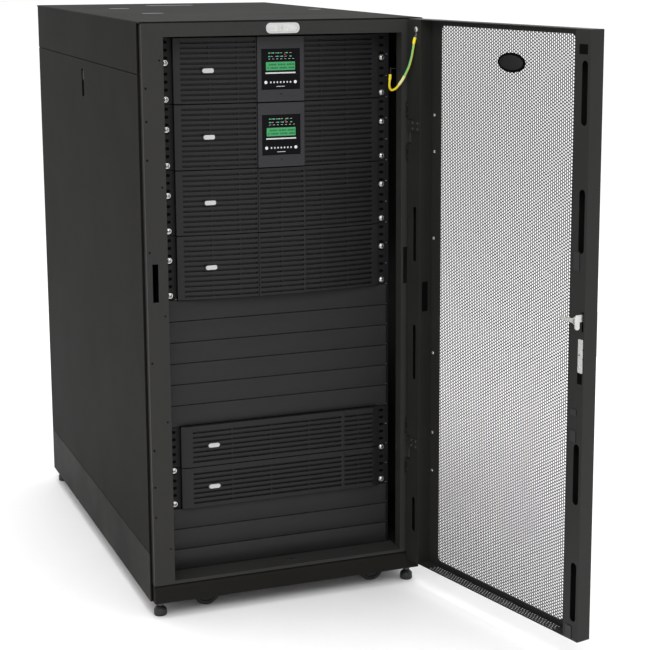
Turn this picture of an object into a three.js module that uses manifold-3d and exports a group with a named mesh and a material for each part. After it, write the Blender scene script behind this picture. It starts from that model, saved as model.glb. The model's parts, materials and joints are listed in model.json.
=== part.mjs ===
// A 25-unit rack cabinet on casters and levelling feet. It holds rack-mounted power units, battery
// units and blanking panels behind a perforated front door that stands open.
// Millimetres. X runs across the front, Y runs from the front face to the back, Z is up.
import * as THREE from 'three';
import { mergeVertices } from 'three/addons/utils/BufferGeometryUtils.js';
import Module from 'manifold-3d';

const wasm = await Module();
wasm.setup();

// ---- Driving dimensions -------------------------------------------------------------------------

const UNIT = 44.45;
const RACK_UNITS = 25;
const CABINET_WIDTH = 600;
const CABINET_HEIGHT = 1225;
const FRAME_WIDTH = 590;
const FRAME_DEPTH = 1031;
const STILE_WIDTH = 43;

const BASE_BOTTOM = 34;
const BASE_TOP = 73;
const RACK_BOTTOM = 80;
const RACK_TOP = RACK_BOTTOM + RACK_UNITS * UNIT;
const RAIL_Y = 66;
const EAR_WIDTH = 482.6;
const BEZEL_WIDTH = 438;
const CHASSIS_WIDTH = 434;

const SKIN = 3;
const SHEET = 2.5;
const DOOR_SHEET = 1.5;
const GAP = 0.3;
const SIDE_START = 20;
const SIDE_END = FRAME_DEPTH - 16;
const SKIRT_TOP = 138;
const HOOD_BOTTOM = 1123;

const DOOR_OPEN_DEG = 103;
const DOOR_HINGE = { x: 270, y: -10.5 };
const DOOR_WIDTH = 554;
const DOOR_BOTTOM = 61;
const DOOR_TOP = 1223;
const DOOR_FACE_Y = -23.5;
const DOOR_BACK_Y = 7.5;
const DOOR_BORDER = 74;
const DOOR_BOX = 42;

const FRAME_HALF = FRAME_WIDTH / 2;
const CABINET_HALF = CABINET_WIDTH / 2;
const OPENING_HALF = FRAME_HALF - STILE_WIDTH;
const FRAME_TOP = CABINET_HEIGHT - SKIN - GAP;
const FRAME_BOTTOM = BASE_TOP + GAP;

// ---- Finishes -----------------------------------------------------------------------------------

function finish(color, roughness, metalness) {
  return new THREE.MeshStandardMaterial({ color, roughness, metalness });
}

const FINISH = {
  powderCoat: finish(0x3a3a39, 0.5, 0.2),
  perforatedSheet: finish(0x333332, 0.5, 0.3),
  unitCase: finish(0x1d1d1e, 0.55, 0.2),
  bezelPlastic: finish(0x2c2c2d, 0.45, 0),
  blankPlastic: finish(0x2f2f2e, 0.5, 0),
  panelPlastic: finish(0x141416, 0.25, 0),
  buttonPlastic: finish(0xd8d8d8, 0.4, 0),
  zincPlate: finish(0xb9b9b2, 0.35, 0.9),
  handlePlastic: finish(0x1a1a1a, 0.4, 0),
  casterSteel: finish(0x2a2a2a, 0.45, 0.6),
  wheelRubber: finish(0x171717, 0.8, 0),
  footPlastic: finish(0x202020, 0.6, 0),
  wireGreen: finish(0x3f8a3a, 0.5, 0),
};

// ---- Solid building -----------------------------------------------------------------------------

function toSolid(geometry) {
  const bare = geometry.clone();
  bare.deleteAttribute('normal');
  bare.deleteAttribute('uv');
  const merged = mergeVertices(bare, 1e-4);
  const vertProperties = new Float32Array(merged.attributes.position.array);
  const triVerts = new Uint32Array(merged.index.array);
  return new wasm.Manifold(new wasm.Mesh({ numProp: 3, vertProperties, triVerts }));
}

function toGeometry(solid) {
  const { vertProperties, triVerts } = solid.getMesh();
  const indexed = new THREE.BufferGeometry();
  indexed.setAttribute('position', new THREE.BufferAttribute(vertProperties, 3));
  indexed.setIndex(new THREE.BufferAttribute(triVerts, 1));
  const geometry = indexed.toNonIndexed();
  geometry.computeVertexNormals();
  return geometry;
}

function join(...solids) {
  return solids.reduce((whole, piece) => whole.add(piece));
}

function cut(solid, ...tools) {
  return tools.reduce((left, tool) => left.subtract(tool), solid);
}

// A box from three [low, high] spans.
function block(x, y, z) {
  const geometry = new THREE.BoxGeometry(x[1] - x[0], y[1] - y[0], z[1] - z[0]);
  geometry.translate((x[0] + x[1]) / 2, (y[0] + y[1]) / 2, (z[0] + z[1]) / 2);
  return toSolid(geometry);
}

// Turns geometry built along +Z so that it runs along the named axis.
function turnTo(axis, geometry) {
  const cycle = new THREE.Matrix4();
  if (axis === 'x') cycle.set(0, 0, 1, 0, 1, 0, 0, 0, 0, 1, 0, 0, 0, 0, 0, 1);
  if (axis === 'y') cycle.set(0, 1, 0, 0, 0, 0, 1, 0, 1, 0, 0, 0, 0, 0, 0, 1);
  return geometry.applyMatrix4(cycle);
}

// A shape drawn across the axis, swept over a span of it. Shape points are (x, y) for z,
// (y, z) for x and (z, x) for y.
function sweep(shape, axis, span) {
  const geometry = new THREE.ExtrudeGeometry(shape, {
    depth: span[1] - span[0],
    bevelEnabled: false,
    curveSegments: 5,
  });
  geometry.translate(0, 0, span[0]);
  return toSolid(turnTo(axis, geometry));
}

function prism(points, axis, span) {
  return sweep(new THREE.Shape(points.map(([u, v]) => new THREE.Vector2(u, v))), axis, span);
}

// A round bar along an axis. centre holds the two other coordinates, in the order of sweep.
function bar(radius, axis, span, centre, sides = 20) {
  const geometry = new THREE.CylinderGeometry(radius, radius, span[1] - span[0], sides);
  geometry.rotateX(Math.PI / 2);
  geometry.translate(centre[0], centre[1], (span[0] + span[1]) / 2);
  return toSolid(turnTo(axis, geometry));
}

// A turned piece from (radius, height) points that start and end on the axis.
function turned(points, sides = 20) {
  const profile = points.map(([radius, height]) => new THREE.Vector2(radius, height));
  const geometry = new THREE.LatheGeometry(profile, sides);
  geometry.rotateX(Math.PI / 2);
  return toSolid(geometry);
}

// A slot with round ends, standing upright, as a tool that cuts along Y.
function uprightSlot(x, y, z) {
  const radius = (x[1] - x[0]) / 2;
  const middle = (x[0] + x[1]) / 2;
  const shape = new THREE.Shape();
  shape.moveTo(z[0] + radius, x[0]);
  shape.lineTo(z[1] - radius, x[0]);
  shape.absarc(z[1] - radius, middle, radius, -Math.PI / 2, Math.PI / 2, false);
  shape.lineTo(z[0] + radius, x[1]);
  shape.absarc(z[0] + radius, middle, radius, Math.PI / 2, (3 * Math.PI) / 2, false);
  return sweep(shape, 'y', y);
}

// The [low, high] span between two distances from the middle, on one side of it.
function sideSpan(side, inner, outer) {
  return side > 0 ? [inner, outer] : [-outer, -inner];
}

function both(make) {
  return [-1, 1].map(make);
}

// ---- Scene graph --------------------------------------------------------------------------------

const cabinet = new THREE.Group();
const frontDoor = new THREE.Group();
frontDoor.position.set(DOOR_HINGE.x, DOOR_HINGE.y, 0);
frontDoor.rotation.z = THREE.MathUtils.degToRad(DOOR_OPEN_DEG);
cabinet.add(frontDoor);

function place(name, solid, material, parent = cabinet) {
  const mesh = new THREE.Mesh(toGeometry(solid), material);
  mesh.name = name;
  parent.add(mesh);
  return mesh;
}

const SIDES = [['left', -1], ['right', 1]];
const ENDS = [['front', 0], ['rear', FRAME_DEPTH]];

// The distance y in from one end of the frame.
function fromEnd(end, distance) {
  return end === 0 ? distance : end - distance;
}

// ---- Base, feet and casters ---------------------------------------------------------------------

const FOOT = { x: 278, inset: 28, stem: 5, top: 68 };
const WHEEL_SIDES = 28;
const WHEEL_RADIUS = 28.5;
const AXLE_Z = WHEEL_RADIUS * Math.cos(Math.PI / WHEEL_SIDES);
const CASTER = { x: 187, inset: 52, trail: 15, width: 22, axleZ: AXLE_Z };
const PAD_BOTTOM = 66.5;

function baseFrame() {
  const profile = [
    [0, BASE_BOTTOM], [0, 64], [1.5, 68.5], [4.5, 71.5], [9, BASE_TOP],
    [FRAME_DEPTH, BASE_TOP], [FRAME_DEPTH, BASE_BOTTOM],
  ];
  const tray = prism(profile, 'x', [-FRAME_HALF, FRAME_HALF]);
  const insideX = [SHEET - FRAME_HALF, FRAME_HALF - SHEET];
  const under = block(insideX, [12, FRAME_DEPTH - SHEET], [0, BASE_TOP - SKIN]);
  const underNose = block(insideX, [SHEET, 13], [0, 62]);
  const cableOpening = block([-165, 165], [250, 800], [60, 80]);
  const skirts = both((side) => join(
    block(sideSpan(side, CABINET_HALF - SKIN, CABINET_HALF), [SIDE_START, SIDE_END],
      [BASE_BOTTOM, SKIRT_TOP]),
    block(sideSpan(side, FRAME_HALF - SHEET, CABINET_HALF), [SIDE_START, SIDE_END], [BASE_BOTTOM, 37]),
  ));
  const pads = [];
  const bosses = [];
  const bossHoles = [];
  for (const [, end] of ENDS) {
    for (const side of [-1, 1]) {
      const padY = fromEnd(end, CASTER.inset);
      const padX = side * CASTER.x;
      pads.push(block([padX - 31, padX + 31], [padY - 31, padY + 31], [PAD_BOTTOM, BASE_TOP - 1]));
      const bossY = [fromEnd(end, 1), fromEnd(end, 42)].sort((a, b) => a - b);
      bosses.push(block(sideSpan(side, 264, FRAME_HALF - 1), bossY, [37, 53]));
      bossHoles.push(bar(FOOT.stem + 0.7, 'z', [30, 60], [side * FOOT.x, fromEnd(end, FOOT.inset)]));
    }
  }
  const shell = cut(tray, under, underNose, cableOpening);
  return cut(join(shell, ...skirts, ...pads, ...bosses), ...bossHoles);
}

function levellingFoot() {
  return turned([
    [0, 0], [11, 0], [13.5, 2.5], [13.5, 13], [11, 17], [8, 19], [FOOT.stem, 21],
    [FOOT.stem, FOOT.top], [0, FOOT.top],
  ], 18);
}

function casterFork() {
  const { trail, width, axleZ } = CASTER;
  const crown = bar(23, 'z', [PAD_BOTTOM - GAP - 4, PAD_BOTTOM - GAP], [0, 0], 24);
  const legOutline = [
    [63, -15], [63, 19], [axleZ + 6, trail + 9], [axleZ - 7, trail + 6],
    [axleZ - 7, trail - 6], [axleZ + 6, trail - 9],
  ];
  const legs = both((side) => prism(legOutline, 'y', sideSpan(side, width / 2 + 1.5, width / 2 + 4)));
  const axle = bar(4, 'y', [-width / 2 - 5.5, width / 2 + 5.5], [axleZ, trail], 16);
  return join(crown, ...legs, axle);
}

// The wheel is turned half a facet, so that it stands on a flat.
function casterWheel() {
  const { width, trail, axleZ } = CASTER;
  const half = width / 2;
  const tread = WHEEL_RADIUS;
  const tyre = turned([
    [0, -half], [20, -half], [21.5, 1.5 - half], [24, 1 - half], [tread - 2, 2 - half], [tread, 5 - half],
    [tread, half - 5], [tread - 2, half - 2], [24, half - 1], [21.5, half - 1.5], [20, half], [0, half],
  ], WHEEL_SIDES);
  const bored = cut(tyre, bar(4.6, 'z', [-width, width], [0, 0], 16));
  return bored.rotate([0, 0, 180 / WHEEL_SIDES]).rotate([90, 0, 0]).translate([trail, 0, axleZ]);
}

place('base_frame', baseFrame(), FINISH.powderCoat);
for (const [endName, end] of ENDS) {
  for (const [sideName, side] of SIDES) {
    const foot = place(`levelling_foot_${endName}_${sideName}`, levellingFoot(), FINISH.footPlastic);
    foot.position.set(side * FOOT.x, fromEnd(end, FOOT.inset), 0);
    const fork = place(`caster_fork_${endName}_${sideName}`, casterFork(), FINISH.casterSteel);
    const wheel = place(`caster_wheel_${endName}_${sideName}`, casterWheel(), FINISH.wheelRubber);
    for (const piece of [fork, wheel]) {
      piece.position.set(side * CASTER.x, fromEnd(end, CASTER.inset), 0);
    }
  }
}

// ---- Frames, rails and outer skin ---------------------------------------------------------------

const STRIKE_Z = [669, 747];
const HINGES_Z = [992, 313.5];
const HINGE_HALF = 24;
const SIDE_LATCH = { y: (SIDE_START + SIDE_END) / 2, z: [1040, 1101], half: 11 };

// A portal of two stiles, a head rail and a sill, open at the front and the back. Distances
// run in from the end that it closes.
function portal(end, sillDepth) {
  const depth = (near, far) => [fromEnd(end, near), fromEnd(end, far)].sort((a, b) => a - b);
  const height = [FRAME_BOTTOM, FRAME_TOP];
  const stiles = both((side) => join(
    block(sideSpan(side, OPENING_HALF, FRAME_HALF), depth(0, SHEET), height),
    block(sideSpan(side, FRAME_HALF - SHEET, FRAME_HALF), depth(0, 40), height),
    block(sideSpan(side, OPENING_HALF, OPENING_HALF + SHEET), depth(0, 28), height),
  ));
  const across = [-FRAME_HALF, FRAME_HALF];
  const inside = [-OPENING_HALF - 1, OPENING_HALF + 1];
  const headBottom = RACK_TOP + 3.75;
  return join(
    ...stiles,
    block(across, depth(0, SHEET), [headBottom, FRAME_TOP]),
    block(inside, depth(0, 28), [headBottom, headBottom + SHEET]),
    block(across, depth(0, 40), [FRAME_TOP - SHEET, FRAME_TOP]),
    block(across, depth(0, SHEET), [FRAME_BOTTOM, RACK_BOTTOM - GAP]),
    block(inside, depth(0, sillDepth), [RACK_BOTTOM - GAP - SHEET, RACK_BOTTOM - GAP]),
  );
}

// The lower half of each door hinge: a knuckle on the stile with a pin standing out of it.
function frameHinge(z) {
  const { x, y } = DOOR_HINGE;
  return join(
    bar(5, 'z', [z - HINGE_HALF, z - GAP], [x, y], 16),
    block([x - 3, x + 3], [y, 1], [z - HINGE_HALF, z - GAP]),
    bar(2.5, 'z', [z - 2, z + HINGE_HALF - 2], [x, y], 12),
  );
}

function frontFrame() {
  const strikeLeft = block([-284, -272], [-5, 10], STRIKE_Z);
  const strikeRight = block([257, 267], [-5, 10], STRIKE_Z);
  return join(cut(portal(0, 60), strikeLeft, strikeRight), ...HINGES_Z.map(frameHinge));
}

// The rear portal carries the rear mounting rails on the inner returns of its stiles.
function rearFrame() {
  const rails = both((side) => join(
    block(sideSpan(side, 222, OPENING_HALF + SHEET), [985, 985 + SHEET], [RACK_BOTTOM, RACK_TOP]),
    block(sideSpan(side, OPENING_HALF, OPENING_HALF + SHEET), [985, 1005], [RACK_BOTTOM, RACK_TOP]),
  ));
  return join(portal(FRAME_DEPTH, 40), ...rails);
}

function frontRail(side) {
  const height = [FRAME_BOTTOM, FRAME_TOP - 1];
  return join(
    block(sideSpan(side, 222, 250), [RAIL_Y, RAIL_Y + SHEET], height),
    block(sideSpan(side, 250 - SHEET, 250), [RAIL_Y, RAIL_Y + 50], height),
  );
}

// The roof sheet and the fixed bands that it turns down over each side.
function roofPanel() {
  const half = CABINET_HALF;
  const top = CABINET_HEIGHT;
  const outline = [
    [HOOD_BOTTOM, -half], [top - 4, -half], [top - 1.2, 1.2 - half], [top, 4 - half],
    [top, half - 4], [top - 1.2, half - 1.2], [top - 4, half], [HOOD_BOTTOM, half],
    [HOOD_BOTTOM, half - SKIN], [top - SKIN - 1, half - SKIN], [top - SKIN, half - SKIN - 1],
    [top - SKIN, SKIN + 1 - half], [top - SKIN - 1, SKIN - half], [HOOD_BOTTOM, SKIN - half],
  ];
  const hood = prism(outline, 'y', [1, FRAME_DEPTH - 1]);
  const cheeks = both((side) => sideSpan(side, half - 6.5, half + 1));
  return cut(
    hood,
    ...cheeks.map((x) => block(x, [0, SIDE_START], [1100, top - SKIN])),
    ...cheeks.map((x) => block(x, [SIDE_END, FRAME_DEPTH], [1100, top - SKIN])),
  );
}

function sidePanel(side) {
  const height = [SKIRT_TOP + 1.5, HOOD_BOTTOM - 1.5];
  const { y, z, half } = SIDE_LATCH;
  const outer = CABINET_HALF;
  const inner = CABINET_HALF - SKIN;
  const outline = [
    [outer, SIDE_START], [outer, SIDE_END], [inner - 1.5, SIDE_END], [inner - 1.5, SIDE_END - SHEET],
    [inner, SIDE_END - SHEET], [inner, SIDE_START + SHEET], [inner - 1.5, SIDE_START + SHEET],
    [inner - 1.5, SIDE_START],
  ].map(([x, depth]) => [side * x, depth]);
  const skin = prism(side > 0 ? outline : outline.reverse(), 'z', height);
  const cup = block(sideSpan(side, 289, outer - 1), [y - half - 2, y + half + 2], [z[0] - 2, z[1] + 2]);
  const cupInside = block(sideSpan(side, 291, outer + 1), [y - half, y + half], z);
  return cut(join(skin, cup), cupInside);
}

// The thumb slide that holds a side panel: a ridged block in the panel's cup.
function sideLatch(side) {
  const { y, z, half } = SIDE_LATCH;
  const x = sideSpan(side, 291.4, 298.6);
  const body = block(x, [y - half + 2, y + half - 2], [z[1] - 26, z[1] - 1]);
  const grooves = [6, 11, 16].map((drop) => block(
    sideSpan(side, 297, 299), [y - half, y + half], [z[1] - drop - 2, z[1] - drop],
  ));
  return cut(body, ...grooves);
}

place('front_frame', frontFrame(), FINISH.powderCoat);
place('rear_frame', rearFrame(), FINISH.powderCoat);
place('roof_panel', roofPanel(), FINISH.powderCoat);
for (const [sideName, side] of SIDES) {
  place(`front_rail_${sideName}`, frontRail(side), FINISH.powderCoat);
  place(`side_panel_${sideName}`, sidePanel(side), FINISH.powderCoat);
  place(`side_latch_${sideName}`, sideLatch(side), FINISH.handlePlastic);
}

// ---- Rack contents ------------------------------------------------------------------------------

const EAR_BACK = RAIL_Y - GAP;
const EAR_FRONT = EAR_BACK - 2.7;
const BEZEL_BACK = EAR_FRONT - GAP;
const UNIT_CLEARANCE = 0.8;
const PANEL = { half: 40.5, frontY: 33, recess: 6, thick: 2.2 };
const BUTTON = { x: 31.4, drop: 26.5, radius: 3.5, proud: 0.8 };

// Top-down contents: [name, units, depth behind the ears, front style].
const CONTENTS = [
  ['ups_upper', 3, 620, 'panel'],
  ['ups_lower', 3, 620, 'panel'],
  ['battery_upper', 3, 560, 'bowed'],
  ['battery_lower', 3, 560, 'bowed'],
  ...Array.from({ length: 6 }, (_, i) => [`blank_upper_${i + 1}`, 1, 0, 'blank']),
  ['power_module_upper', 2, 480, 'flat'],
  ['power_module_lower', 2, 480, 'flat'],
  ...Array.from({ length: 3 }, (_, i) => [`blank_lower_${i + 1}`, 1, 0, 'blank']),
];

function chassis(z, depth) {
  const height = [z[0] + UNIT_CLEARANCE, z[1] - UNIT_CLEARANCE];
  return join(
    block([-CHASSIS_WIDTH / 2, CHASSIS_WIDTH / 2], [EAR_FRONT, EAR_BACK + depth], height),
    block([-EAR_WIDTH / 2, EAR_WIDTH / 2], [EAR_FRONT, EAR_BACK], height),
  );
}

// Points along the bowed wing of a bezel, from its outer end to the flat middle, right side.
function wingPoints() {
  const curve = new THREE.QuadraticBezierCurve(
    new THREE.Vector2(BEZEL_WIDTH / 2, 51),
    new THREE.Vector2(120, 35),
    new THREE.Vector2(52, 35.5),
  );
  return curve.getPoints(6).map((point) => [point.x, point.y]);
}

function bowedBezel(z) {
  const wing = wingPoints();
  const right = [[BEZEL_WIDTH / 2, BEZEL_BACK], ...wing, [50, PANEL.frontY]];
  const left = right.map(([x, y]) => [-x, y]).reverse();
  return prism([...right, ...left], 'z', [z[0] + UNIT_CLEARANCE, z[1] - UNIT_CLEARANCE]);
}

function flatBezel(z) {
  const half = BEZEL_WIDTH / 2;
  const outline = [
    [half, BEZEL_BACK], [half, 51], [half - 4, 47], [4 - half, 47], [-half, 51], [-half, BEZEL_BACK],
  ];
  return prism(outline, 'z', [z[0] + UNIT_CLEARANCE, z[1] - UNIT_CLEARANCE]);
}

function panelBezel(z) {
  const middle = (z[0] + z[1]) / 2;
  const reach = PANEL.half + GAP;
  const recess = block(
    [-reach, reach], [PANEL.frontY - 1, PANEL.frontY + PANEL.recess], [middle - reach, middle + reach],
  );
  return cut(bowedBezel(z), recess);
}

function controlPanel(z) {
  const middle = (z[0] + z[1]) / 2;
  const { half, frontY, thick } = PANEL;
  const plate = block([-half, half], [frontY + GAP, frontY + GAP + thick], [middle - half, middle + half]);
  const holes = both((side) => bar(
    BUTTON.radius + 0.5, 'y', [frontY - 1, frontY + 5], [middle - BUTTON.drop, side * BUTTON.x], 16,
  ));
  return cut(plate, ...holes);
}

// A push button with a collar behind the panel that stops it falling out.
function panelButton(z, side) {
  const middle = (z[0] + z[1]) / 2;
  const centre = [middle - BUTTON.drop, side * BUTTON.x];
  const back = PANEL.frontY + GAP + PANEL.thick + GAP;
  return join(
    bar(BUTTON.radius, 'y', [PANEL.frontY + GAP - BUTTON.proud, back + 0.5], centre, 16),
    bar(BUTTON.radius + 1.5, 'y', [back, back + 1.2], centre, 16),
  );
}

// A shallow tray of 1 unit that snaps over the rail fronts.
function blankPanel(z) {
  const low = z[0] + 0.4;
  const high = z[1] - 0.4;
  const front = RAIL_Y - 9;
  const outline = [
    [EAR_BACK, low], [EAR_BACK, low + 1.8], [front + 2, low + 1.8], [front + 2, high - 1.8],
    [EAR_BACK, high - 1.8], [EAR_BACK, high], [front + 1, high], [front, high - 1],
    [front, low + 1], [front + 1, low],
  ];
  return prism(outline, 'x', [-EAR_WIDTH / 2, EAR_WIDTH / 2]);
}

const BEZEL_SHAPES = { panel: panelBezel, bowed: bowedBezel, flat: flatBezel };
let shelfTop = RACK_TOP;
for (const [name, units, depth, style] of CONTENTS) {
  const z = [shelfTop - units * UNIT, shelfTop];
  shelfTop = z[0];
  if (style === 'blank') {
    place(name, blankPanel(z), FINISH.blankPlastic);
    continue;
  }
  place(`${name}_chassis`, chassis(z, depth), FINISH.unitCase);
  place(`${name}_bezel`, BEZEL_SHAPES[style](z), FINISH.bezelPlastic);
  if (style !== 'panel') continue;
  place(`${name}_control_panel`, controlPanel(z), FINISH.panelPlastic);
  for (const [sideName, side] of SIDES) {
    place(`${name}_button_${sideName}`, panelButton(z, side), FINISH.buttonPlastic);
  }
}

// ---- Front door ---------------------------------------------------------------------------------
// Built closed, with X = 0 and Y = 0 on the hinge axis, and the free edge towards -X.

const DOOR_EDGE = 1;
const DOOR_FREE = DOOR_EDGE - DOOR_WIDTH;
const DOOR_FACE_BACK = DOOR_FACE_Y + DOOR_SHEET;
const LIP_Y = [DOOR_BACK_Y - DOOR_SHEET, DOOR_BACK_Y];
const SPINDLE = { x: -530, z: 686, radius: 9 };
const LEVER = { length: 64, backY: -34, frontY: -42 };
const BOLT = { x: [-548.5, -545.5], neckZ: [688, 702], lipZ: [674, 702], travel: 16 };
const HINGE_SLOTS_Z = [[721, 837], [467, 586], [130, 207]];
const LATCH_SLOTS_Z = [[1049, 1167], [814, 933], [332, 451], [99, 217]];

function roundedWindow(z, x, radius) {
  const path = new THREE.Path();
  path.moveTo(z[0] + radius, x[0]);
  path.lineTo(z[1] - radius, x[0]);
  path.absarc(z[1] - radius, x[0] + radius, radius, -Math.PI / 2, 0, false);
  path.lineTo(z[1], x[1] - radius);
  path.absarc(z[1] - radius, x[1] - radius, radius, 0, Math.PI / 2, false);
  path.lineTo(z[0] + radius, x[1]);
  path.absarc(z[0] + radius, x[1] - radius, radius, Math.PI / 2, Math.PI, false);
  path.lineTo(z[0], x[0] + radius);
  path.absarc(z[0] + radius, x[0] + radius, radius, Math.PI, (3 * Math.PI) / 2, false);
  return path;
}

function doorFace() {
  const shape = new THREE.Shape([
    new THREE.Vector2(DOOR_BOTTOM, DOOR_FREE), new THREE.Vector2(DOOR_TOP, DOOR_FREE),
    new THREE.Vector2(DOOR_TOP, DOOR_EDGE), new THREE.Vector2(DOOR_BOTTOM, DOOR_EDGE),
  ]);
  const windowX = [DOOR_FREE + DOOR_BORDER, DOOR_EDGE - DOOR_BORDER];
  shape.holes.push(roundedWindow([DOOR_BOTTOM + 12, DOOR_TOP - 12], windowX, 10));
  return sweep(shape, 'y', [DOOR_FACE_Y, DOOR_FACE_BACK]);
}

// The upright box section along one edge: edge flange, lip across the back, and inner wall.
function doorBox(edge, inward) {
  const span = (a, b) => [edge + inward * a, edge + inward * b].sort((p, q) => p - q);
  const depth = [DOOR_FACE_Y, DOOR_BACK_Y];
  const height = [DOOR_BOTTOM, DOOR_TOP];
  return join(
    block(span(0, DOOR_SHEET), depth, height),
    block(span(0, DOOR_BOX), LIP_Y, height),
    block(span(DOOR_BOX - DOOR_SHEET, DOOR_BOX), depth, height),
  );
}

// The upper half of each hinge: a bored knuckle on a leaf across the back of the box.
function doorKnuckle(z) {
  const height = [z + GAP, z + HINGE_HALF];
  const solid = join(
    bar(5, 'z', height, [0, 0], 16),
    block([-12, 0], [3, DOOR_BACK_Y + 2], height),
    block([-38, -8], [DOOR_BACK_Y - 1, DOOR_BACK_Y + 2], height),
  );
  return cut(solid, bar(3, 'z', [z - 1, z + HINGE_HALF + 1], [0, 0], 16));
}

function frontDoorFrame() {
  const across = [DOOR_FREE, DOOR_EDGE];
  const depth = [DOOR_FACE_Y, DOOR_BACK_Y];
  const shell = join(
    doorFace(),
    doorBox(DOOR_EDGE, -1),
    doorBox(DOOR_FREE, 1),
    block(across, depth, [DOOR_BOTTOM, DOOR_BOTTOM + DOOR_SHEET]),
    block(across, depth, [DOOR_TOP - DOOR_SHEET, DOOR_TOP]),
  );
  const lipCut = [LIP_Y[0] - 1, LIP_Y[1] + 1];
  const slots = [
    ...HINGE_SLOTS_Z.map((z) => uprightSlot([-28, -17], lipCut, z)),
    ...LATCH_SLOTS_Z.map((z) => uprightSlot([-546, -530], lipCut, z)),
  ];
  const hingeRooms = HINGES_Z.map((z) => block(
    [-9, 3], [-8, 9], [z - HINGE_HALF - 2, z + HINGE_HALF + 2],
  ));
  const spindleHole = bar(SPINDLE.radius + 0.7, 'y', [-30, 20], [SPINDLE.z, SPINDLE.x], 20);
  const boltRun = [BOLT.neckZ[0] - BOLT.travel - 4, BOLT.neckZ[1] + 4];
  const boltHole = block([BOLT.x[0] - 1, BOLT.x[1] + 1], lipCut, boltRun);
  return join(cut(shell, ...slots, ...hingeRooms, spindleHole, boltHole), ...HINGES_Z.map(doorKnuckle));
}

function frontDoorMesh() {
  const clear = DOOR_SHEET + GAP;
  return block(
    [DOOR_FREE + DOOR_BOX + GAP, DOOR_EDGE - DOOR_BOX - GAP],
    [DOOR_FACE_BACK + GAP, DOOR_FACE_BACK + GAP + 1.2],
    [DOOR_BOTTOM + clear, DOOR_TOP - clear],
  );
}

function handleEscutcheon() {
  const { x, z, radius } = SPINDLE;
  const body = block([x - 17, x + 17], [-31.5, DOOR_FACE_Y - GAP], [z - 76, z + 22]);
  return cut(body, bar(radius + 0.7, 'y', [-40, -20], [z, x], 20));
}

// The spindle, its tongue for the lever outside and its drive arm inside.
function handleSpindle() {
  const { x, z, radius } = SPINDLE;
  const armY = [DOOR_BACK_Y + GAP, DOOR_BACK_Y + 2.5];
  return join(
    bar(radius, 'y', [LEVER.backY, armY[1]], [z, x], 20),
    block([x - 7, x + 7], [LEVER.frontY + 1, LEVER.backY + 1], [z - 3, z + 3]),
    block([x - 5, x + 46], armY, [z - 5, z + 5]),
  );
}

// The lever straddles the tongue and swings out on a pin through its round end.
function handleLever() {
  const { x, z } = SPINDLE;
  const pivotY = (LEVER.frontY + LEVER.backY) / 2;
  const thickness = LEVER.backY - GAP - LEVER.frontY;
  const grip = block([x, x + LEVER.length], [LEVER.frontY, LEVER.backY - GAP], [z - 10, z + 10]);
  const eye = bar(thickness / 2, 'z', [z - 10, z + 10], [x, pivotY - GAP / 2], 16);
  const slot = block([x - 8, x + 10.5], [LEVER.frontY - 1, LEVER.backY + 1], [z - 3.6, z + 3.6]);
  return cut(join(grip, eye), slot);
}

// A plate that slides inside the box, with a hook that reaches through the strike slot.
function latchBolt() {
  return join(
    block(BOLT.x, [-17, 4], [630, BOLT.neckZ[1]]),
    block(BOLT.x, [0, 26], BOLT.neckZ),
    block(BOLT.x, [15.5, 26], BOLT.lipZ),
  );
}

function latchCover() {
  return block([-551, -538], [DOOR_BACK_Y + GAP, DOOR_BACK_Y + 2.3], [590, 654]);
}

place('front_door_frame', frontDoorFrame(), FINISH.powderCoat, frontDoor);
place('front_door_mesh', frontDoorMesh(), FINISH.perforatedSheet, frontDoor);
place('handle_escutcheon', handleEscutcheon(), FINISH.handlePlastic, frontDoor);
place('handle_spindle', handleSpindle(), FINISH.zincPlate, frontDoor);
place('handle_lever', handleLever(), FINISH.handlePlastic, frontDoor);
place('latch_bolt', latchBolt(), FINISH.zincPlate, frontDoor);
place('latch_cover', latchCover(), FINISH.zincPlate, frontDoor);

// ---- Rear doors ---------------------------------------------------------------------------------

const REAR_DOOR = { y: [FRAME_DEPTH + 0.4, FRAME_DEPTH + 24.4], edge: 282, meet: 0.6 };
const REAR_LATCH = { x: 18, z: 640, radius: 7 };

// A pan that opens towards the cabinet: an outer sheet with a rim all round.
function rearDoor(side) {
  const x = sideSpan(side, REAR_DOOR.meet, REAR_DOOR.edge);
  const height = [DOOR_BOTTOM + 14, DOOR_TOP - 2];
  const pan = block(x, REAR_DOOR.y, height);
  const inside = block(
    [x[0] + DOOR_SHEET, x[1] - DOOR_SHEET],
    [REAR_DOOR.y[0] - 1, REAR_DOOR.y[1] - DOOR_SHEET],
    [height[0] + DOOR_SHEET, height[1] - DOOR_SHEET],
  );
  const { x: latchX, z: latchZ, radius } = REAR_LATCH;
  const latchHole = bar(radius + 0.7, 'y', [REAR_DOOR.y[0], REAR_DOOR.y[1] + 5], [latchZ, latchX], 20);
  return side > 0 ? cut(pan, inside, latchHole) : cut(pan, inside);
}

// A grip outside the right leaf and a cam arm inside it, upright while unlatched.
function rearLatch() {
  const { x, z, radius } = REAR_LATCH;
  const outside = REAR_DOOR.y[1];
  const armY = [REAR_DOOR.y[0] - 4.5, REAR_DOOR.y[0] - 1];
  return join(
    bar(radius, 'y', [armY[0], outside + 5], [z, x], 20),
    block([x - 6, x + 6], [outside + 2, outside + 10], [z - 34, z + 34]),
    block([x - 5, x + 5], armY, [z, z + 42]),
  );
}

for (const [sideName, side] of SIDES) {
  place(`rear_door_${sideName}`, rearDoor(side), FINISH.powderCoat);
}
place('rear_latch', rearLatch(), FINISH.handlePlastic);

// ---- Ground wire --------------------------------------------------------------------------------
// It hangs in a loop between the door's back lip and the inner return of the right stile.

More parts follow.
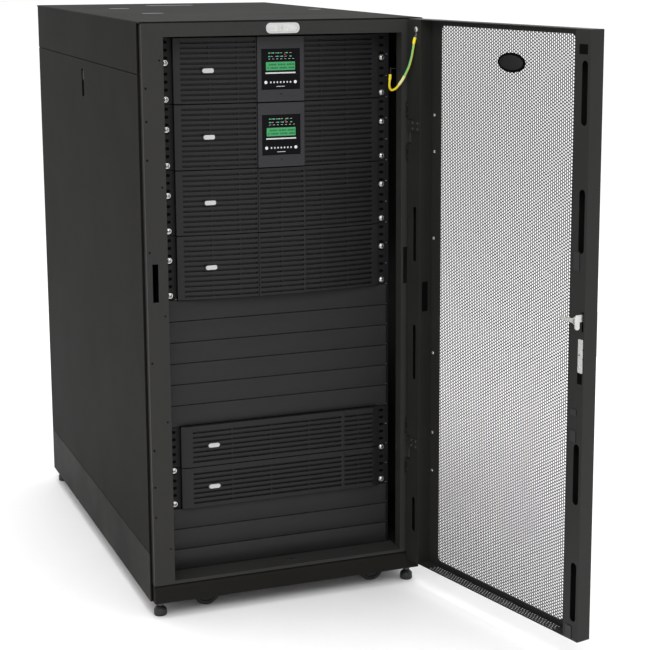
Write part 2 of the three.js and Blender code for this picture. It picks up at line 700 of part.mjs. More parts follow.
const WIRE_RADIUS = 2.4;
const WIRE_ROUTE = [
  [266, -37, 1186], [264, -36, 1176], [263, -35, 1166], [262, -33, 1156], [261, -31, 1146], [259, -29, 1136],
  [257, -26, 1126], [254, -22, 1116], [251, -18, 1107], [248, -14, 1099], [244, -8, 1090], [241, -2, 1083],
  [238, 6, 1078], [236, 16, 1076], [236, 25, 1080], [238, 32, 1087], [241, 37, 1096], [243, 39, 1106],
];

function groundWire() {
  const curve = new THREE.CatmullRomCurve3(WIRE_ROUTE.map((point) => new THREE.Vector3(...point)));
  const section = new THREE.Shape();
  const sides = 10;
  for (let i = 0; i < sides; i += 1) {
    const angle = (2 * Math.PI * i) / sides;
    const point = [WIRE_RADIUS * Math.cos(angle), WIRE_RADIUS * Math.sin(angle)];
    if (i === 0) section.moveTo(...point);
    else section.lineTo(...point);
  }
  return toSolid(new THREE.ExtrudeGeometry(section, { steps: 26, extrudePath: curve }));
}

place('ground_wire', groundWire(), FINISH.wireGreen);

// ---- Frame of the part --------------------------------------------------------------------------
// The origin is on the floor, under the middle of the cabinet with its door open.

const bounds = new THREE.Box3().setFromObject(cabinet, true);
const centre = bounds.getCenter(new THREE.Vector3());
cabinet.position.set(-centre.x, -centre.y, -bounds.min.z);

const part = new THREE.Group();
part.add(cabinet);

export default part;
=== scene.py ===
import json
import math
from contextlib import contextmanager

import bmesh
import bpy
from mathutils import Matrix, Vector


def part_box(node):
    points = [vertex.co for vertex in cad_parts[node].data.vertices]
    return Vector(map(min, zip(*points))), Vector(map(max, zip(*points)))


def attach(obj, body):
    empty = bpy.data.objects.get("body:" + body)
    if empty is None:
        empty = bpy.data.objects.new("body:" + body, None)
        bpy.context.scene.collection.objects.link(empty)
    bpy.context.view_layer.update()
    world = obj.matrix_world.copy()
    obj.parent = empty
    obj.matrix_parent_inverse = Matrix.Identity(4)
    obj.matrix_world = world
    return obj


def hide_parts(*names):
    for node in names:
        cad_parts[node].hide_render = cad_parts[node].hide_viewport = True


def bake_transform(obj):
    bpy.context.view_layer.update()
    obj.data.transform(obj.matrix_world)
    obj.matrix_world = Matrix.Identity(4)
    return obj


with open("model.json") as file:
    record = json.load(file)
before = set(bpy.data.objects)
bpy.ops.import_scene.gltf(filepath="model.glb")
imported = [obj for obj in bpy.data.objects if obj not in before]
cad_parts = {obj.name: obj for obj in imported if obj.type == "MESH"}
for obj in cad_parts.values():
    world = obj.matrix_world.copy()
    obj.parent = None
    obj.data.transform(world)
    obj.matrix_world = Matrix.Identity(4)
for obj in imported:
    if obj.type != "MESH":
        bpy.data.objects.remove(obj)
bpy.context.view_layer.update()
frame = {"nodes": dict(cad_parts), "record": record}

# ---- Places ----
# Shapes are drawn in millimetres. In cabinet space X is 0 on the middle line, Y is 0 on the front
# face of the frame and Z is 0 on the floor. Door space is the front door closed, with X and Y 0 on
# its hinge axis.

MM = 0.001
UNIT = 44.45
BASE_LOW, BASE_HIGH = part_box("base_frame")
ORIGIN = Vector(((BASE_LOW.x + BASE_HIGH.x) / 2, BASE_LOW.y, 0.0))
CABINET = Matrix.Translation(ORIGIN) @ Matrix.Scale(MM, 4)
JOINTS = frame["record"]["behaviour"]["joints"]
SWING = next(joint for joint in JOINTS if joint["name"] == "front_door_swing")
DOOR_ANGLE = math.radians(-SWING["range_deg"][0])
HINGE_POINT = Vector((SWING["pos_m"][0], SWING["pos_m"][1], 0.0))
DOOR = Matrix.Translation(HINGE_POINT) @ Matrix.Rotation(DOOR_ANGLE, 4, "Z") @ Matrix.Scale(MM, 4)
FIXED = (CABINET, "cabinet")
ON_DOOR = (DOOR, "front_door")
SHARP = math.radians(32)
SIDES = (("left", -1), ("right", 1))


def spans(node):
    """The node's lowest and highest coordinate along x, y and z, in cabinet millimetres."""
    low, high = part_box(node)
    return [((low - ORIGIN)[axis] / MM, (high - ORIGIN)[axis] / MM) for axis in range(3)]


# ---- Shape building ----

class Shape:
    """Gathers closed forms in millimetres. paint() sets the material index of what comes next."""

    def __init__(self):
        self.verts = []
        self.faces = []
        self.inks = []
        self.ink = 0

    def paint(self, index):
        self.ink = index
        return self

    def add(self, verts, faces):
        first = len(self.verts)
        self.verts.extend(verts)
        self.faces.extend([first + i for i in face] for face in faces)
        self.inks.extend([self.ink] * len(faces))
        return self

    def box(self, x, y, z):
        verts = [(a, b, c) for a in x for b in y for c in z]
        faces = [(0, 1, 3, 2), (4, 6, 7, 5), (0, 4, 5, 1), (2, 3, 7, 6), (0, 2, 6, 4), (1, 5, 7, 3)]
        return self.add(verts, faces)

    def loft(self, rings):
        """Joins rings of equal length into one closed skin with a flat face at each end."""
        count = len(rings[0])
        verts = [point for ring in rings for point in ring]
        faces = [list(range(count))[::-1], [count * (len(rings) - 1) + i for i in range(count)]]
        for level in range(len(rings) - 1):
            for i in range(count):
                a, b = count * level + i, count * level + (i + 1) % count
                faces.append([a, b, b + count, a + count])
        return self.add(verts, faces)

    def prism(self, points, axis, span):
        """Sweeps an outline along an axis. Points are (y, z) for x, (x, z) for y, (x, y) for z."""
        return self.loft([[placed(axis, u, v, w) for u, v in points] for w in span])

    def turned(self, profile, axis, centre, sides=24):
        """Turns (radius, distance) points round a line along an axis through centre."""
        rings = []
        for radius, distance in profile:
            r = max(radius, 0.02)
            rings.append([
                placed(axis, centre[0] + r * math.cos(t), centre[1] + r * math.sin(t), distance)
                for t in (2 * math.pi * i / sides for i in range(sides))
            ])
        return self.loft(rings)

    def rod(self, radius, axis, span, centre, sides=24, chamfer=0.0):
        low, high = span
        profile = [(radius, low), (radius, high)]
        if chamfer:
            profile = [
                (radius - chamfer, low), (radius, low + chamfer),
                (radius, high - chamfer), (radius - chamfer, high),
            ]
        return self.turned(profile, axis, centre, sides)


def placed(axis, u, v, w):
    return {"x": (w, u, v), "y": (u, w, v), "z": (u, v, w)}[axis]


def rounded(u, v, radius, steps=5):
    """The outline of a rectangle with round corners."""
    corners = [
        (u[1] - radius, v[1] - radius, 0), (u[0] + radius, v[1] - radius, 90),
        (u[0] + radius, v[0] + radius, 180), (u[1] - radius, v[0] + radius, 270),
    ]
    points = []
    for cu, cv, start in corners:
        for i in range(steps + 1):
            angle = math.radians(start + 90 * i / steps)
            points.append((cu + radius * math.cos(angle), cv + radius * math.sin(angle)))
    return points


def about(middle, half):
    return (middle - half, middle + half)


def oval(centre, half_u, half_v, steps=32):
    turns = [2 * math.pi * i / steps for i in range(steps)]
    return [(centre[0] + half_u * math.cos(t), centre[1] + half_v * math.sin(t)) for t in turns]


def linked(name, data):
    obj = bpy.data.objects.new(name, data)
    bpy.context.scene.collection.objects.link(obj)
    return obj


def mesh_of(name, shape):
    mesh = bpy.data.meshes.new(name)
    mesh.from_pydata(shape.verts, [], shape.faces)
    return mesh


@contextmanager
def editing(mesh):
    bm = bmesh.new()
    bm.from_mesh(mesh)
    yield bm
    bm.to_mesh(mesh)
    bm.free()


def soften(obj, width, segments):
    """Rounds the sharp edges."""
    modifier = obj.modifiers.new("soft edges", "BEVEL")
    modifier.width = width * MM
    modifier.segments = segments
    modifier.limit_method = "ANGLE"
    modifier.angle_limit = SHARP
    return modifier


def declare(obj, body, replaces=()):
    if body:
        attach(obj, body)
    if replaces:
        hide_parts(*replaces)
    return obj


def piece(name, shape, space, body, surfaces, slot, replaces=(), bevel=0.0, segments=2):
    """Makes one named piece with shaded edges, which rides on a body if one is given."""
    mesh = mesh_of(name, shape)
    mesh.polygons.foreach_set("material_index", shape.inks)
    with editing(mesh) as bm:
        bmesh.ops.recalc_face_normals(bm, faces=bm.faces)
        for face in bm.faces:
            face.smooth = True
        for edge in bm.edges:
            if len(edge.link_faces) == 2 and edge.calc_face_angle() > SHARP:
                edge.smooth = False
    mesh.transform(space)
    obj = linked(name, mesh)
    for surface in surfaces if isinstance(surfaces, list) else [surfaces]:
        mesh.materials.append(surface)
    if bevel:
        soften(obj, bevel, segments).harden_normals = True
    return declare(obj, body, replaces)


def carved(node, name, cutters, space, body, surface, slot):
    """The CAD node's own shape with real holes cut through it, as a piece that replaces the node."""
    source = frame["nodes"][node]
    mesh = source.data.copy()
    mesh.transform(source.matrix_world)
    with editing(mesh) as bm:
        bmesh.ops.remove_doubles(bm, verts=bm.verts, dist=1e-6)
    mesh.materials.clear()
    mesh.materials.append(surface)
    obj = linked(name, mesh)
    tool_mesh = mesh_of("cutters", cutters)
    tool_mesh.transform(space)
    with editing(tool_mesh) as bm:
        bmesh.ops.recalc_face_normals(bm, faces=bm.faces)
    tool = linked("cutters", tool_mesh)
    cut = obj.modifiers.new("cut", "BOOLEAN")
    cut.operation = "DIFFERENCE"
    cut.solver = "EXACT"
    cut.object = tool
    graph = bpy.context.evaluated_depsgraph_get()
    result = bpy.data.meshes.new_from_object(obj.evaluated_get(graph))
    obj.modifiers.clear()
    bpy.data.objects.remove(tool)
    with editing(result) as bm:
        bmesh.ops.dissolve_limit(bm, angle_limit=math.radians(0.5), verts=bm.verts, edges=bm.edges)
        for face in bm.faces:
            face.smooth = False
    obj.data = result
    soften(obj, 0.35, 1)
    declare(obj, body, [node])


# ---- Materials ----

class Nodes:
    """A small helper that adds nodes to one material and links them."""

    def __init__(self, name):
        self.material = bpy.data.materials.new(name)
        self.material.use_nodes = True
        self.tree = self.material.node_tree
        self.shader = self.tree.nodes["Principled BSDF"]
        self.coords = self.tree.nodes.new("ShaderNodeTexCoord").outputs["Object"]

    def node(self, kind, **values):
        made = self.tree.nodes.new(kind)
        for name, value in values.items():
            if name in made.inputs:
                made.inputs[name].default_value = value
            else:
                setattr(made, name, value)
        return made

    def link(self, source, target):
        self.tree.links.new(source, target)

    def noise(self, scale, detail=2.0, roughness=0.5, stretch=(1, 1, 1)):
        mapping = self.node("ShaderNodeMapping", Scale=stretch)
        self.link(self.coords, mapping.inputs["Vector"])
        made = self.node("ShaderNodeTexNoise", Scale=scale, Detail=detail, Roughness=roughness)
        self.link(mapping.outputs["Vector"], made.inputs["Vector"])
        return made.outputs["Fac"]

    def spread(self, value, low, high):
        """Maps 0.3..0.7 of a noise to low..high."""
        limits = {"From Min": 0.3, "From Max": 0.7, "To Min": low, "To Max": high}
        made = self.node("ShaderNodeMapRange", **limits)
        self.link(value, made.inputs["Value"])
        return made.outputs["Result"]

    def mix(self, factor, first, second):
        made = self.node("ShaderNodeMix", data_type="RGBA")
        for name, value in (("Factor", factor), ("A", first), ("B", second)):
            if isinstance(value, bpy.types.NodeSocket):
                self.link(value, made.inputs[name])
            else:
                made.inputs[name].default_value = value
        return made.outputs["Result"]

    def edge(self, radius):
        """Rounded-edge normal, and how far it turns from the flat one."""
        bevel = self.node("ShaderNodeBevel", samples=4, Radius=radius)
        flat = self.node("ShaderNodeNewGeometry")
        dot = self.node("ShaderNodeVectorMath", operation="DOT_PRODUCT")
        self.link(bevel.outputs["Normal"], dot.inputs[0])
        self.link(flat.outputs["Normal"], dot.inputs[1])
        turn = self.node("ShaderNodeMapRange", **{"From Min": 1.0, "From Max": 0.9})
        self.link(dot.outputs["Value"], turn.inputs["Value"])
        return bevel.outputs["Normal"], turn.outputs["Result"]

    def bump(self, height, strength, distance, normal=None):
        made = self.node("ShaderNodeBump", Strength=strength, Distance=distance)
        self.link(height, made.inputs["Height"])
        if normal is not None:
            self.link(normal, made.inputs["Normal"])
        return made.outputs["Normal"]


def rgba(color, factor):
    return tuple(min(1.0, c * factor) for c in color) + (1.0,)


EDGE = 0.0008
# Brightness factor of the painted edge highlight.
EDGE_HIGHLIGHT = 1.6


def coated(name, color, roughness, grain=700.0, depth=0.00012, tint=0.12, round_edge=0.0,
           specular=0.35, cloud=0.05):
    """A sprayed or moulded surface with fine grain, cloudy tone and, where round_edge is given, a painted
    highlight that lightens its edges.
    """
    n = Nodes(name)
    clouds = n.noise(7.0, 4.0, 0.6)
    dust = n.noise(60.0, 3.0, 0.6)
    tone = n.mix(n.spread(clouds, 0.0, 1.0), rgba(color, 1 - tint), rgba(color, 1 + tint))
    tone = n.mix(n.spread(dust, 0.0, 0.25), tone, rgba(color, 1 + 2 * tint))
    normal = None
    if round_edge:
        # Painted highlight: the colour is lightened along edges, where the rounded-edge normal turns away
        # from the flat one.
        normal, turned = n.edge(round_edge)
        tone = n.mix(turned, tone, rgba(color, EDGE_HIGHLIGHT))
    n.link(tone, n.shader.inputs["Base Color"])
    n.link(n.spread(clouds, roughness - cloud, roughness + cloud), n.shader.inputs["Roughness"])
    n.shader.inputs["Specular IOR Level"].default_value = specular
    n.link(n.bump(n.noise(grain, 3.0, 0.7), 0.5, depth, normal), n.shader.inputs["Normal"])
    return n.material


def plated(name, color, roughness):
    """Bright plated steel with faint drawn lines and a mottled shine."""
    n = Nodes(name)
    lines = n.noise(320.0, 2.0, 0.6, (1, 1, 14))
    spots = n.noise(90.0, 4.0, 0.65)
    tone = n.mix(n.spread(spots, 0.0, 1.0), rgba(color, 0.82), rgba(color, 1.1))
    n.link(tone, n.shader.inputs["Base Color"])
    n.link(n.spread(spots, roughness - 0.08, roughness + 0.14), n.shader.inputs["Roughness"])
    n.shader.inputs["Metallic"].default_value = 0.95
    n.link(n.bump(lines, 0.25, 0.00008), n.shader.inputs["Normal"])
    return n.material


def glowing(name, color, strength, lines=0.0):
    """A lit display or lamp, with a fine row pattern where lines is more than 0."""
    n = Nodes(name)
    if lines:
        wave = n.node("ShaderNodeTexWave", Scale=lines, bands_direction="Z")
        n.link(n.coords, wave.inputs["Vector"])
        tone = n.mix(wave.outputs["Fac"], rgba(color, 0.8), rgba(color, 1.15))
    else:
        clouds = n.noise(400.0)
        tone = n.mix(n.spread(clouds, 0.0, 1.0), rgba(color, 0.9), rgba(color, 1.08))
    n.link(tone, n.shader.inputs["Base Color"])
    n.link(tone, n.shader.inputs["Emission Color"])
    n.shader.inputs["Emission Strength"].default_value = strength
    n.shader.inputs["Roughness"].default_value = 0.25
    return n.material


# The cabinet's one black powder coat comes in lit and shaded copies of different brightness. The lightest
# copy, on the front and rear frames and the rear doors, is painted light. The door copy is darker. The base
# copy and the side copy, which is on the side panels and the roof, are darker still as painted shade.
POWDER = coated("powder_coat", (0.0225, 0.0222, 0.0212), 0.45, round_edge=EDGE, specular=0.12, tint=0.04)
BASE_POWDER_SHADED = coated("base_powder_coat_shaded", (0.0110, 0.0106, 0.0096), 0.5, round_edge=EDGE, specular=0.03,
                     tint=0.04)
SIDE_POWDER_SHADED = coated("side_powder_coat_shaded", (0.0078, 0.0075, 0.0066), 0.55, round_edge=EDGE, specular=0.02,
                     tint=0.03, cloud=0.02)
DOOR_POWDER = coated("door_powder_coat", (0.0140, 0.0138, 0.0130), 0.42, round_edge=EDGE, specular=0.17,
                     tint=0.07)
MESH_POWDER = coated("perforated_sheet_coat", (0.020, 0.020, 0.019), 0.45, specular=0.3)
INNER = coated("rail_coat", (0.0075, 0.0075, 0.008), 0.5, specular=0.15)
CASE = coated("unit_case_coat", (0.0075, 0.0075, 0.008), 0.5, specular=0.15)
BEZEL = coated("bezel_plastic", (0.0105, 0.0105, 0.0112), 0.42, grain=1500.0, specular=0.2)
FACE = coated("panel_surround_plastic", (0.020, 0.020, 0.022), 0.45, grain=1500.0, specular=0.25)
BLANK = coated("blank_plastic", (0.0125, 0.0125, 0.0122), 0.46, grain=1300.0, specular=0.22)
GLOSS = coated("display_surround_gloss", (0.003, 0.003, 0.004), 0.12, grain=300.0, depth=0.00001,
               specular=0.06)
# Near-black that paints the shade in holes, slots, recesses and seams. It also rims the oval plate on the
# door.
SHADE_BLACK = coated("painted_shade_black", (0.002, 0.002, 0.002), 0.8, specular=0.03)
BADGE = coated("plain_badge", (0.42, 0.42, 0.43), 0.3, grain=900.0, tint=0.05, specular=0.5)
PALE = coated("pale_print", (0.5, 0.5, 0.52), 0.5, tint=0.06)
BUTTON = coated("button_plastic", (0.62, 0.62, 0.6), 0.35, grain=900.0, tint=0.05)
ZINC = plated("bright_zinc", (0.62, 0.62, 0.6), 0.3)
SCREW = plated("screw_zinc", (0.7, 0.69, 0.66), 0.26)
STEEL = plated("caster_steel", (0.09, 0.09, 0.09), 0.4)
HANDLE = coated("handle_plastic", (0.01, 0.01, 0.01), 0.35, grain=1200.0, round_edge=0.0005)
TYRE = coated("wheel_rubber", (0.012, 0.012, 0.012), 0.62, grain=900.0)
FOOT = coated("foot_plastic", (0.013, 0.013, 0.013), 0.5, grain=900.0)
LCD = glowing("display_green", (0.022, 0.20, 0.065), 0.3, lines=260.0)
LCD_INK = coated("display_dots", (0.008, 0.075, 0.022), 0.4, specular=0.1)
LED_GREEN = glowing("lamp_green", (0.03, 0.30, 0.11), 0.4)
LED_RED = glowing("lamp_red", (0.35, 0.03, 0.02), 0.3)
WIRE_GREEN = coated("wire_green", (0.16, 0.42, 0.14), 0.35)
WIRE_YELLOW = coated("wire_yellow", (0.72, 0.56, 0.02), 0.35)
WIRE_SLEEVE = coated("wire_sleeve", (0.62, 0.6, 0.25), 0.25)
FLOOR = coated("pale_floor", (0.86, 0.86, 0.86), 0.6, grain=60.0, tint=0.01)

# Each frame node gets a lit or shaded copy of the one powder coat.
NODE_LOOKS = {
    "base_frame": BASE_POWDER_SHADED, "front_frame": POWDER, "rear_frame": POWDER, "roof_panel": SIDE_POWDER_SHADED,
    "side_panel_left": SIDE_POWDER_SHADED, "side_panel_right": SIDE_POWDER_SHADED, "front_door_frame": DOOR_POWDER,
}


def dress_nodes():
    for name, look in NODE_LOOKS.items():
        data = frame["nodes"][name].data
        data.materials.clear()
        data.materials.append(look)


# ---- Camera, light and floor ----

def make_camera():
    """Stands in front of the cabinet, to its left and a little above it, looking down."""
    place = CABINET @ Vector((-1106.5, -3225.3, 1368.1))
    turn_right = math.radians(21.9)
    look_down = math.radians(10.7)
    data = bpy.data.cameras.new("camera")
    data.sensor_width = 36.0
    data.lens = 93.6
    data.shift_x = -0.075
    data.shift_y = -0.091
    data.clip_end = 100.0
    camera = linked("camera", data)
    camera.location = place
    camera.rotation_euler = (math.pi / 2 - look_down, 0.0, -turn_right)
    bpy.context.scene.camera = camera


def area_light(name, place, target, size, power):
    data = bpy.data.lights.new(name, "AREA")
    data.shape = "RECTANGLE"
    data.size, data.size_y = size
    data.energy = power
    light = linked(name, data)
    light.location = place
    light.rotation_mode = "QUATERNION"
    light.rotation_quaternion = (Vector(target) - Vector(place)).to_track_quat("-Z", "Y")


def make_light():
    world = bpy.data.worlds.new("studio")
    world.use_nodes = True
    sky = world.node_tree.nodes["Background"]
    sky.inputs["Color"].default_value = (1.0, 1.0, 1.0, 1.0)
    sky.inputs["Strength"].default_value = 0.97
    bpy.context.scene.world = world
    bpy.context.scene.view_settings.view_transform = "Standard"
    area_light("key", (-1.2, -3.6, 3.4), (0.0, -0.2, 0.7), (2.0, 2.0), 70.0)
    area_light("top", (0.0, 0.2, 3.6), (0.0, 0.1, 1.0), (2.4, 2.4), 60.0)
    sun = bpy.data.lights.new("wide_fill", "SUN")
    sun.energy = 0.9
    sun.angle = math.radians(120)
    linked("wide_fill", sun).rotation_euler = (math.radians(8), 0.0, 0.0)


def make_floor():
    shape = Shape().box((-40000, 40000), (-40000, 40000), (-12, -0.3))
    mesh = mesh_of("floor", shape)
    mesh.transform(Matrix.Scale(MM, 4))
    mesh.materials.append(FLOOR)
    linked("floor", mesh)


# ---- Ground wire ----

WIRE_RADIUS = 2.4
DOOR_LIP = 7.5
WIRE_ROUTE = [
    (266, -37, 1186), (264, -36, 1176), (263, -35, 1166), (262, -33, 1156), (261, -31, 1146),
    (259, -29, 1136), (257, -26, 1126), (254, -22, 1116), (251, -18, 1107), (248, -14, 1099),
    (244, -8, 1090), (241, -2, 1083), (238, 6, 1078), (236, 16, 1076), (236, 25, 1080),
    (238, 32, 1087), (241, 37, 1096), (243, 39, 1106),
]


def smooth_route(points, steps):
    """Centripetal Catmull-Rom points through a route."""
    route = [Vector(p) for p in points]
    route = [2 * route[0] - route[1]] + route + [2 * route[-1] - route[-2]]
    line = []
    for a, b, c, d in zip(route, route[1:], route[2:], route[3:]):
        t1 = (b - a).length ** 0.5
        t2 = t1 + (c - b).length ** 0.5
        t3 = t2 + (d - c).length ** 0.5
        for i in range(steps):
            t = t1 + (t2 - t1) * i / steps
            a1 = a * ((t1 - t) / t1) + b * (t / t1)
            a2 = b * ((t2 - t) / (t2 - t1)) + c * ((t - t1) / (t2 - t1))
            a3 = c * ((t3 - t) / (t3 - t2)) + d * ((t - t2) / (t3 - t2))
            b1 = a1 * ((t2 - t) / t2) + a2 * (t / t2)
            b2 = a2 * ((t3 - t) / (t3 - t1)) + a3 * ((t - t1) / (t3 - t1))
            line.append(b1 * ((t2 - t) / (t2 - t1)) + b2 * ((t - t1) / (t2 - t1)))
    line.append(route[-2])
    return line


def sweep_rings(line, radius, sides):
    """Rings round a line that do not twist."""
    rings = []
    side = Vector((1, 0, 0))
    for i, point in enumerate(line):
        ahead = (line[min(i + 1, len(line) - 1)] - line[max(i - 1, 0)]).normalized()
        side = (side - ahead * side.dot(ahead)).normalized()
        up = ahead.cross(side)
        rings.append([
            tuple(point + radius * (side * math.cos(t) + up * math.sin(t)))
            for t in (2 * math.pi * k / sides for k in range(sides))
        ])
    return rings


def wire_radius(share):
    """The bare wire, with a thicker crimp sleeve at each end and at its joint."""
    sleeved = share < 0.07 or share > 0.94 or 0.47 < share < 0.6
    return WIRE_RADIUS * (1.3 if sleeved else 1.0)


def wire_ink(share, stripe):
    """Yellow sleeves and a yellow lower loop; the upper run is green with a yellow stripe."""
    if share < 0.07 or share > 0.6:
        return 1
    if 0.47 < share < 0.6:
        return 2
    return 1 if stripe else 0


def ground_wire():
    sides = 16
    line = smooth_route(WIRE_ROUTE, 6)
    last = len(line) - 1
    rings = [
        [tuple(point + (Vector(v) - point) * wire_radius(i / last)) for v in ring]
        for i, (point, ring) in enumerate(zip(line, sweep_rings(line, 1.0, sides)))
    ]
    shape = Shape().loft(rings)
    for face in range(2, len(shape.faces)):
        level, side = divmod(face - 2, sides)
        shape.inks[face] = wire_ink(level / last, side in (2, 3, 10, 11))
    wire = piece("ground_wire_insulation", shape, CABINET, None, [WIRE_GREEN, WIRE_YELLOW, WIRE_SLEEVE],
                 "wire_green", ["ground_wire"])
    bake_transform(wire)
    wire_terminals(line)


def wire_terminals(line):
    """A ring lug on the door's box and a push-on tab on the frame, each on the wire's end."""
    to_door = DOOR.inverted() @ CABINET
    start = to_door @ line[0]
    ring = (start.x, start.z + 16)
    lug = Shape()
    lug.box((start.x - 2.4, start.x + 2.4), (DOOR_LIP + 0.1, start.y + 0.3), (start.z - 1, start.z + 4))
    lug.box((start.x - 2.0, start.x + 2.0), (DOOR_LIP + 0.1, DOOR_LIP + 1.1), (start.z + 3, start.z + 12))
    lug.prism(oval(ring, 6.0, 6.0, 28), "y", (DOOR_LIP + 0.1, DOOR_LIP + 1.1))
    nut = [(0, 1.0), (5.0, 1.0), (5.0, 2.4), (4.2, 2.8), (0, 2.8)]
    lug.paint(1).turned([(radius, DOOR_LIP + height) for radius, height in nut], "y", ring, 6)
    piece("ground_wire_lug", lug, *ON_DOOR, [ZINC, SCREW], "zinc_plate", bevel=0.2)
    end = line[-1]
    tab = Shape().box((end.x - 0.5, end.x + 0.5), (end.y - 3.2, end.y + 3.2), (end.z - 2, end.z + 15))
    tab.box((end.x, 254.0), (end.y - 4, end.y + 4), (end.z + 12, end.z + 13.2))
    piece("ground_wire_tab", tab, *FIXED, STEEL, "zinc_plate", bevel=0.2)


# ---- Rack contents ----

EAR_FRONT = spans("ups_upper_chassis")[1][0]
EAR_HALF = 241.3
HOLE_X = 232.55
BEZEL_HALF = 219.0
CLEARANCE = 0.8
GROOVE_PITCH = 10.4
GROOVE = [(0.0, 0.0), (0.5, 0.5), (0.9, 5.2), (4.1, 5.2), (4.5, 0.7), (5.4, 0.1)]
RIB = 1.1
BADGE_X = -150.0
CASE_HALF = 217.0
KEY_X = 31.4
SQUARE_HOLE = 9.5
HOLE_OFFSETS = (6.35, 22.225, 38.1)
SLOT_STEP = 15.875
RACK_BOTTOM = 80.0
LOUVERED_UNITS = ["ups_upper", "ups_lower", "battery_upper", "battery_lower", "power_module_upper",
                  "power_module_lower"]


def bow(x):
    """Depth of a bowed bezel's face: flat in the middle, curving back towards its ends."""
    x = abs(x)
    if x <= 50.0:
        return 33.0
    if x <= 52.0:
        return 35.5
    t = (198 - math.sqrt(198 ** 2 - 4 * 31 * (BEZEL_HALF - x))) / 62
    return (1 - t) ** 2 * 51 + 2 * t * (1 - t) * 35 + t ** 2 * 35.5


def pocketed(x):
    """The bowed face with the shallow pocket that a control panel sits in."""
    return 39.3 if abs(x) <= 50.0 else bow(x)


def flat_face(x):
    return 47.0 if abs(x) < BEZEL_HALF - 4 else 47.0 + (abs(x) - BEZEL_HALF + 4)


def louvered_bezel(unit, face, blocks, count, ribs):
    """A closed bezel whose louver blocks are cut as a relief into its face."""
    node = f"{unit}_bezel"
    _, (_, back), (z0, z1) = spans(node)
    margin = (z1 - z0 - count * GROOVE_PITCH) / 2
    rows = [(z0, 0.9, False), (z0 + 0.9, 0.0, False)]
    for i in range(count):
        start = z0 + margin + i * GROOVE_PITCH
        rows += [(start + 1.6 + offset, depth, depth > 0) for offset, depth in GROOVE]
    rows += [(z1 - 0.9, 0.0, False), (z1, 0.9, False)]
    xs = {round(-BEZEL_HALF + 2 * BEZEL_HALF * i / 30, 2) for i in range(31)}
    for low, high in blocks:
        for edge, sign in ((low, 1), (high, -1)):
            xs.update((edge, edge + sign * 0.4))
    for rib in ribs:
        xs.update((rib - RIB - 0.3, rib - RIB, rib + RIB, rib + RIB + 0.3))
    if face is not flat_face:
        xs.update((-52.0, -50.4, -50.0, 50.0, 50.4, 52.0))
    xs = sorted(x for x in xs if not any(abs(x - r) < RIB - 0.01 for r in ribs))

    def depth_at(x, depth, grooved):
        inside = any(low + 0.3 < x < high - 0.3 for low, high in blocks)
        if not (grooved and inside):
            return 0.0 if grooved else depth
        on_rib = any(abs(x - rib) <= RIB + 0.01 for rib in ribs)
        return min(depth, 1.2) if on_rib else depth

    verts = [(x, face(x) + depth_at(x, depth, grooved), z) for z, depth, grooved in rows for x in xs]
    columns = len(xs)
    faces = []
    for r in range(len(rows) - 1):
        for c in range(columns - 1):
            a = r * columns + c
            faces.append([a, a + 1, a + 1 + columns, a + columns])
    rim = list(range(columns))
    rim += [r * columns + columns - 1 for r in range(1, len(rows))]
    rim += [(len(rows) - 1) * columns + c for c in range(columns - 2, -1, -1)]
    rim += [r * columns for r in range(len(rows) - 2, 0, -1)]
    first = len(verts)
    verts += [(verts[i][0], back, verts[i][2]) for i in rim]
    for k, i in enumerate(rim):
        following = (k + 1) % len(rim)
        faces.append([rim[following], i, first + k, first + following])
    faces.append([first + k for k in range(len(rim))][::-1])
    shape = Shape().add(verts, faces)
    middle = (z0 + z1) / 2
    skin = face(BADGE_X) - 1.2
    rest = rounded(about(BADGE_X, 14.5), about(middle, 6.5), 6.0)
    shape.prism(rest, "y", (skin + 0.6, skin + 7.0))
    badge = rounded(about(BADGE_X, 12), about(middle, 4.4), 4.2)
    shape.paint(1).prism(badge, "y", (skin, skin + 7.0))
    piece(f"{unit}_louvers", shape, *FIXED, [BEZEL, BADGE], "bezel_plastic", [node])


def chassis(unit):
    """The case behind a bezel: ears with slotted holes, a lidded body and a louvered back."""
    node = f"{unit}_chassis"
    _, (y0, y1), (z0, z1) = spans(node)
    shape = Shape().box((-CASE_HALF, CASE_HALF), (y0 + 0.4, y1), (z0 + 1.0, z1 - 1.0))
    shape.box((-CASE_HALF - 0.4, CASE_HALF + 0.4), (y0 + 30, y1 - 25), (z1 - 1.2, z1))
    shape.box((-BEZEL_HALF + 1, BEZEL_HALF - 1), (y0 + 0.2, y0 + 2.2), (z0 - CLEARANCE, z1 + CLEARANCE))
    for side in (-1, 1):
        x = sorted((side * (CASE_HALF - 0.5), side * EAR_HALF))
        shape.box(x, (y0, y0 + 2.7), (z0, z1))
    # The ear slots and the back vents are near-black plates of painted shade, not cut holes.
    shape.paint(1)
    for side in (-1, 1):
        height = z0 + 12
        while height < z1 - 8:
            x = side * HOLE_X
            shape.prism(rounded(about(x, 5.2), about(height, 3.2), 3.1), "y", (y0 - 0.15, y0 + 0.5))
            height += SLOT_STEP
    for i in range(14):
        x = -190 + i * 14
        shape.box((x, x + 7), (y1 - 0.5, y1 + 0.3), (z0 + 16, z1 - 16))
    shape.paint(2)
    for i in range(4):
        x = 60 + i * 38
        shape.prism(rounded(about(x, 14), (z0 + 18, z0 + 40), 3.0), "y", (y1 - 0.5, y1 + 3.5))
    piece(f"{unit}_case", shape, *FIXED, [CASE, SHADE_BLACK, BEZEL], "unit_case", [node], bevel=0.3)


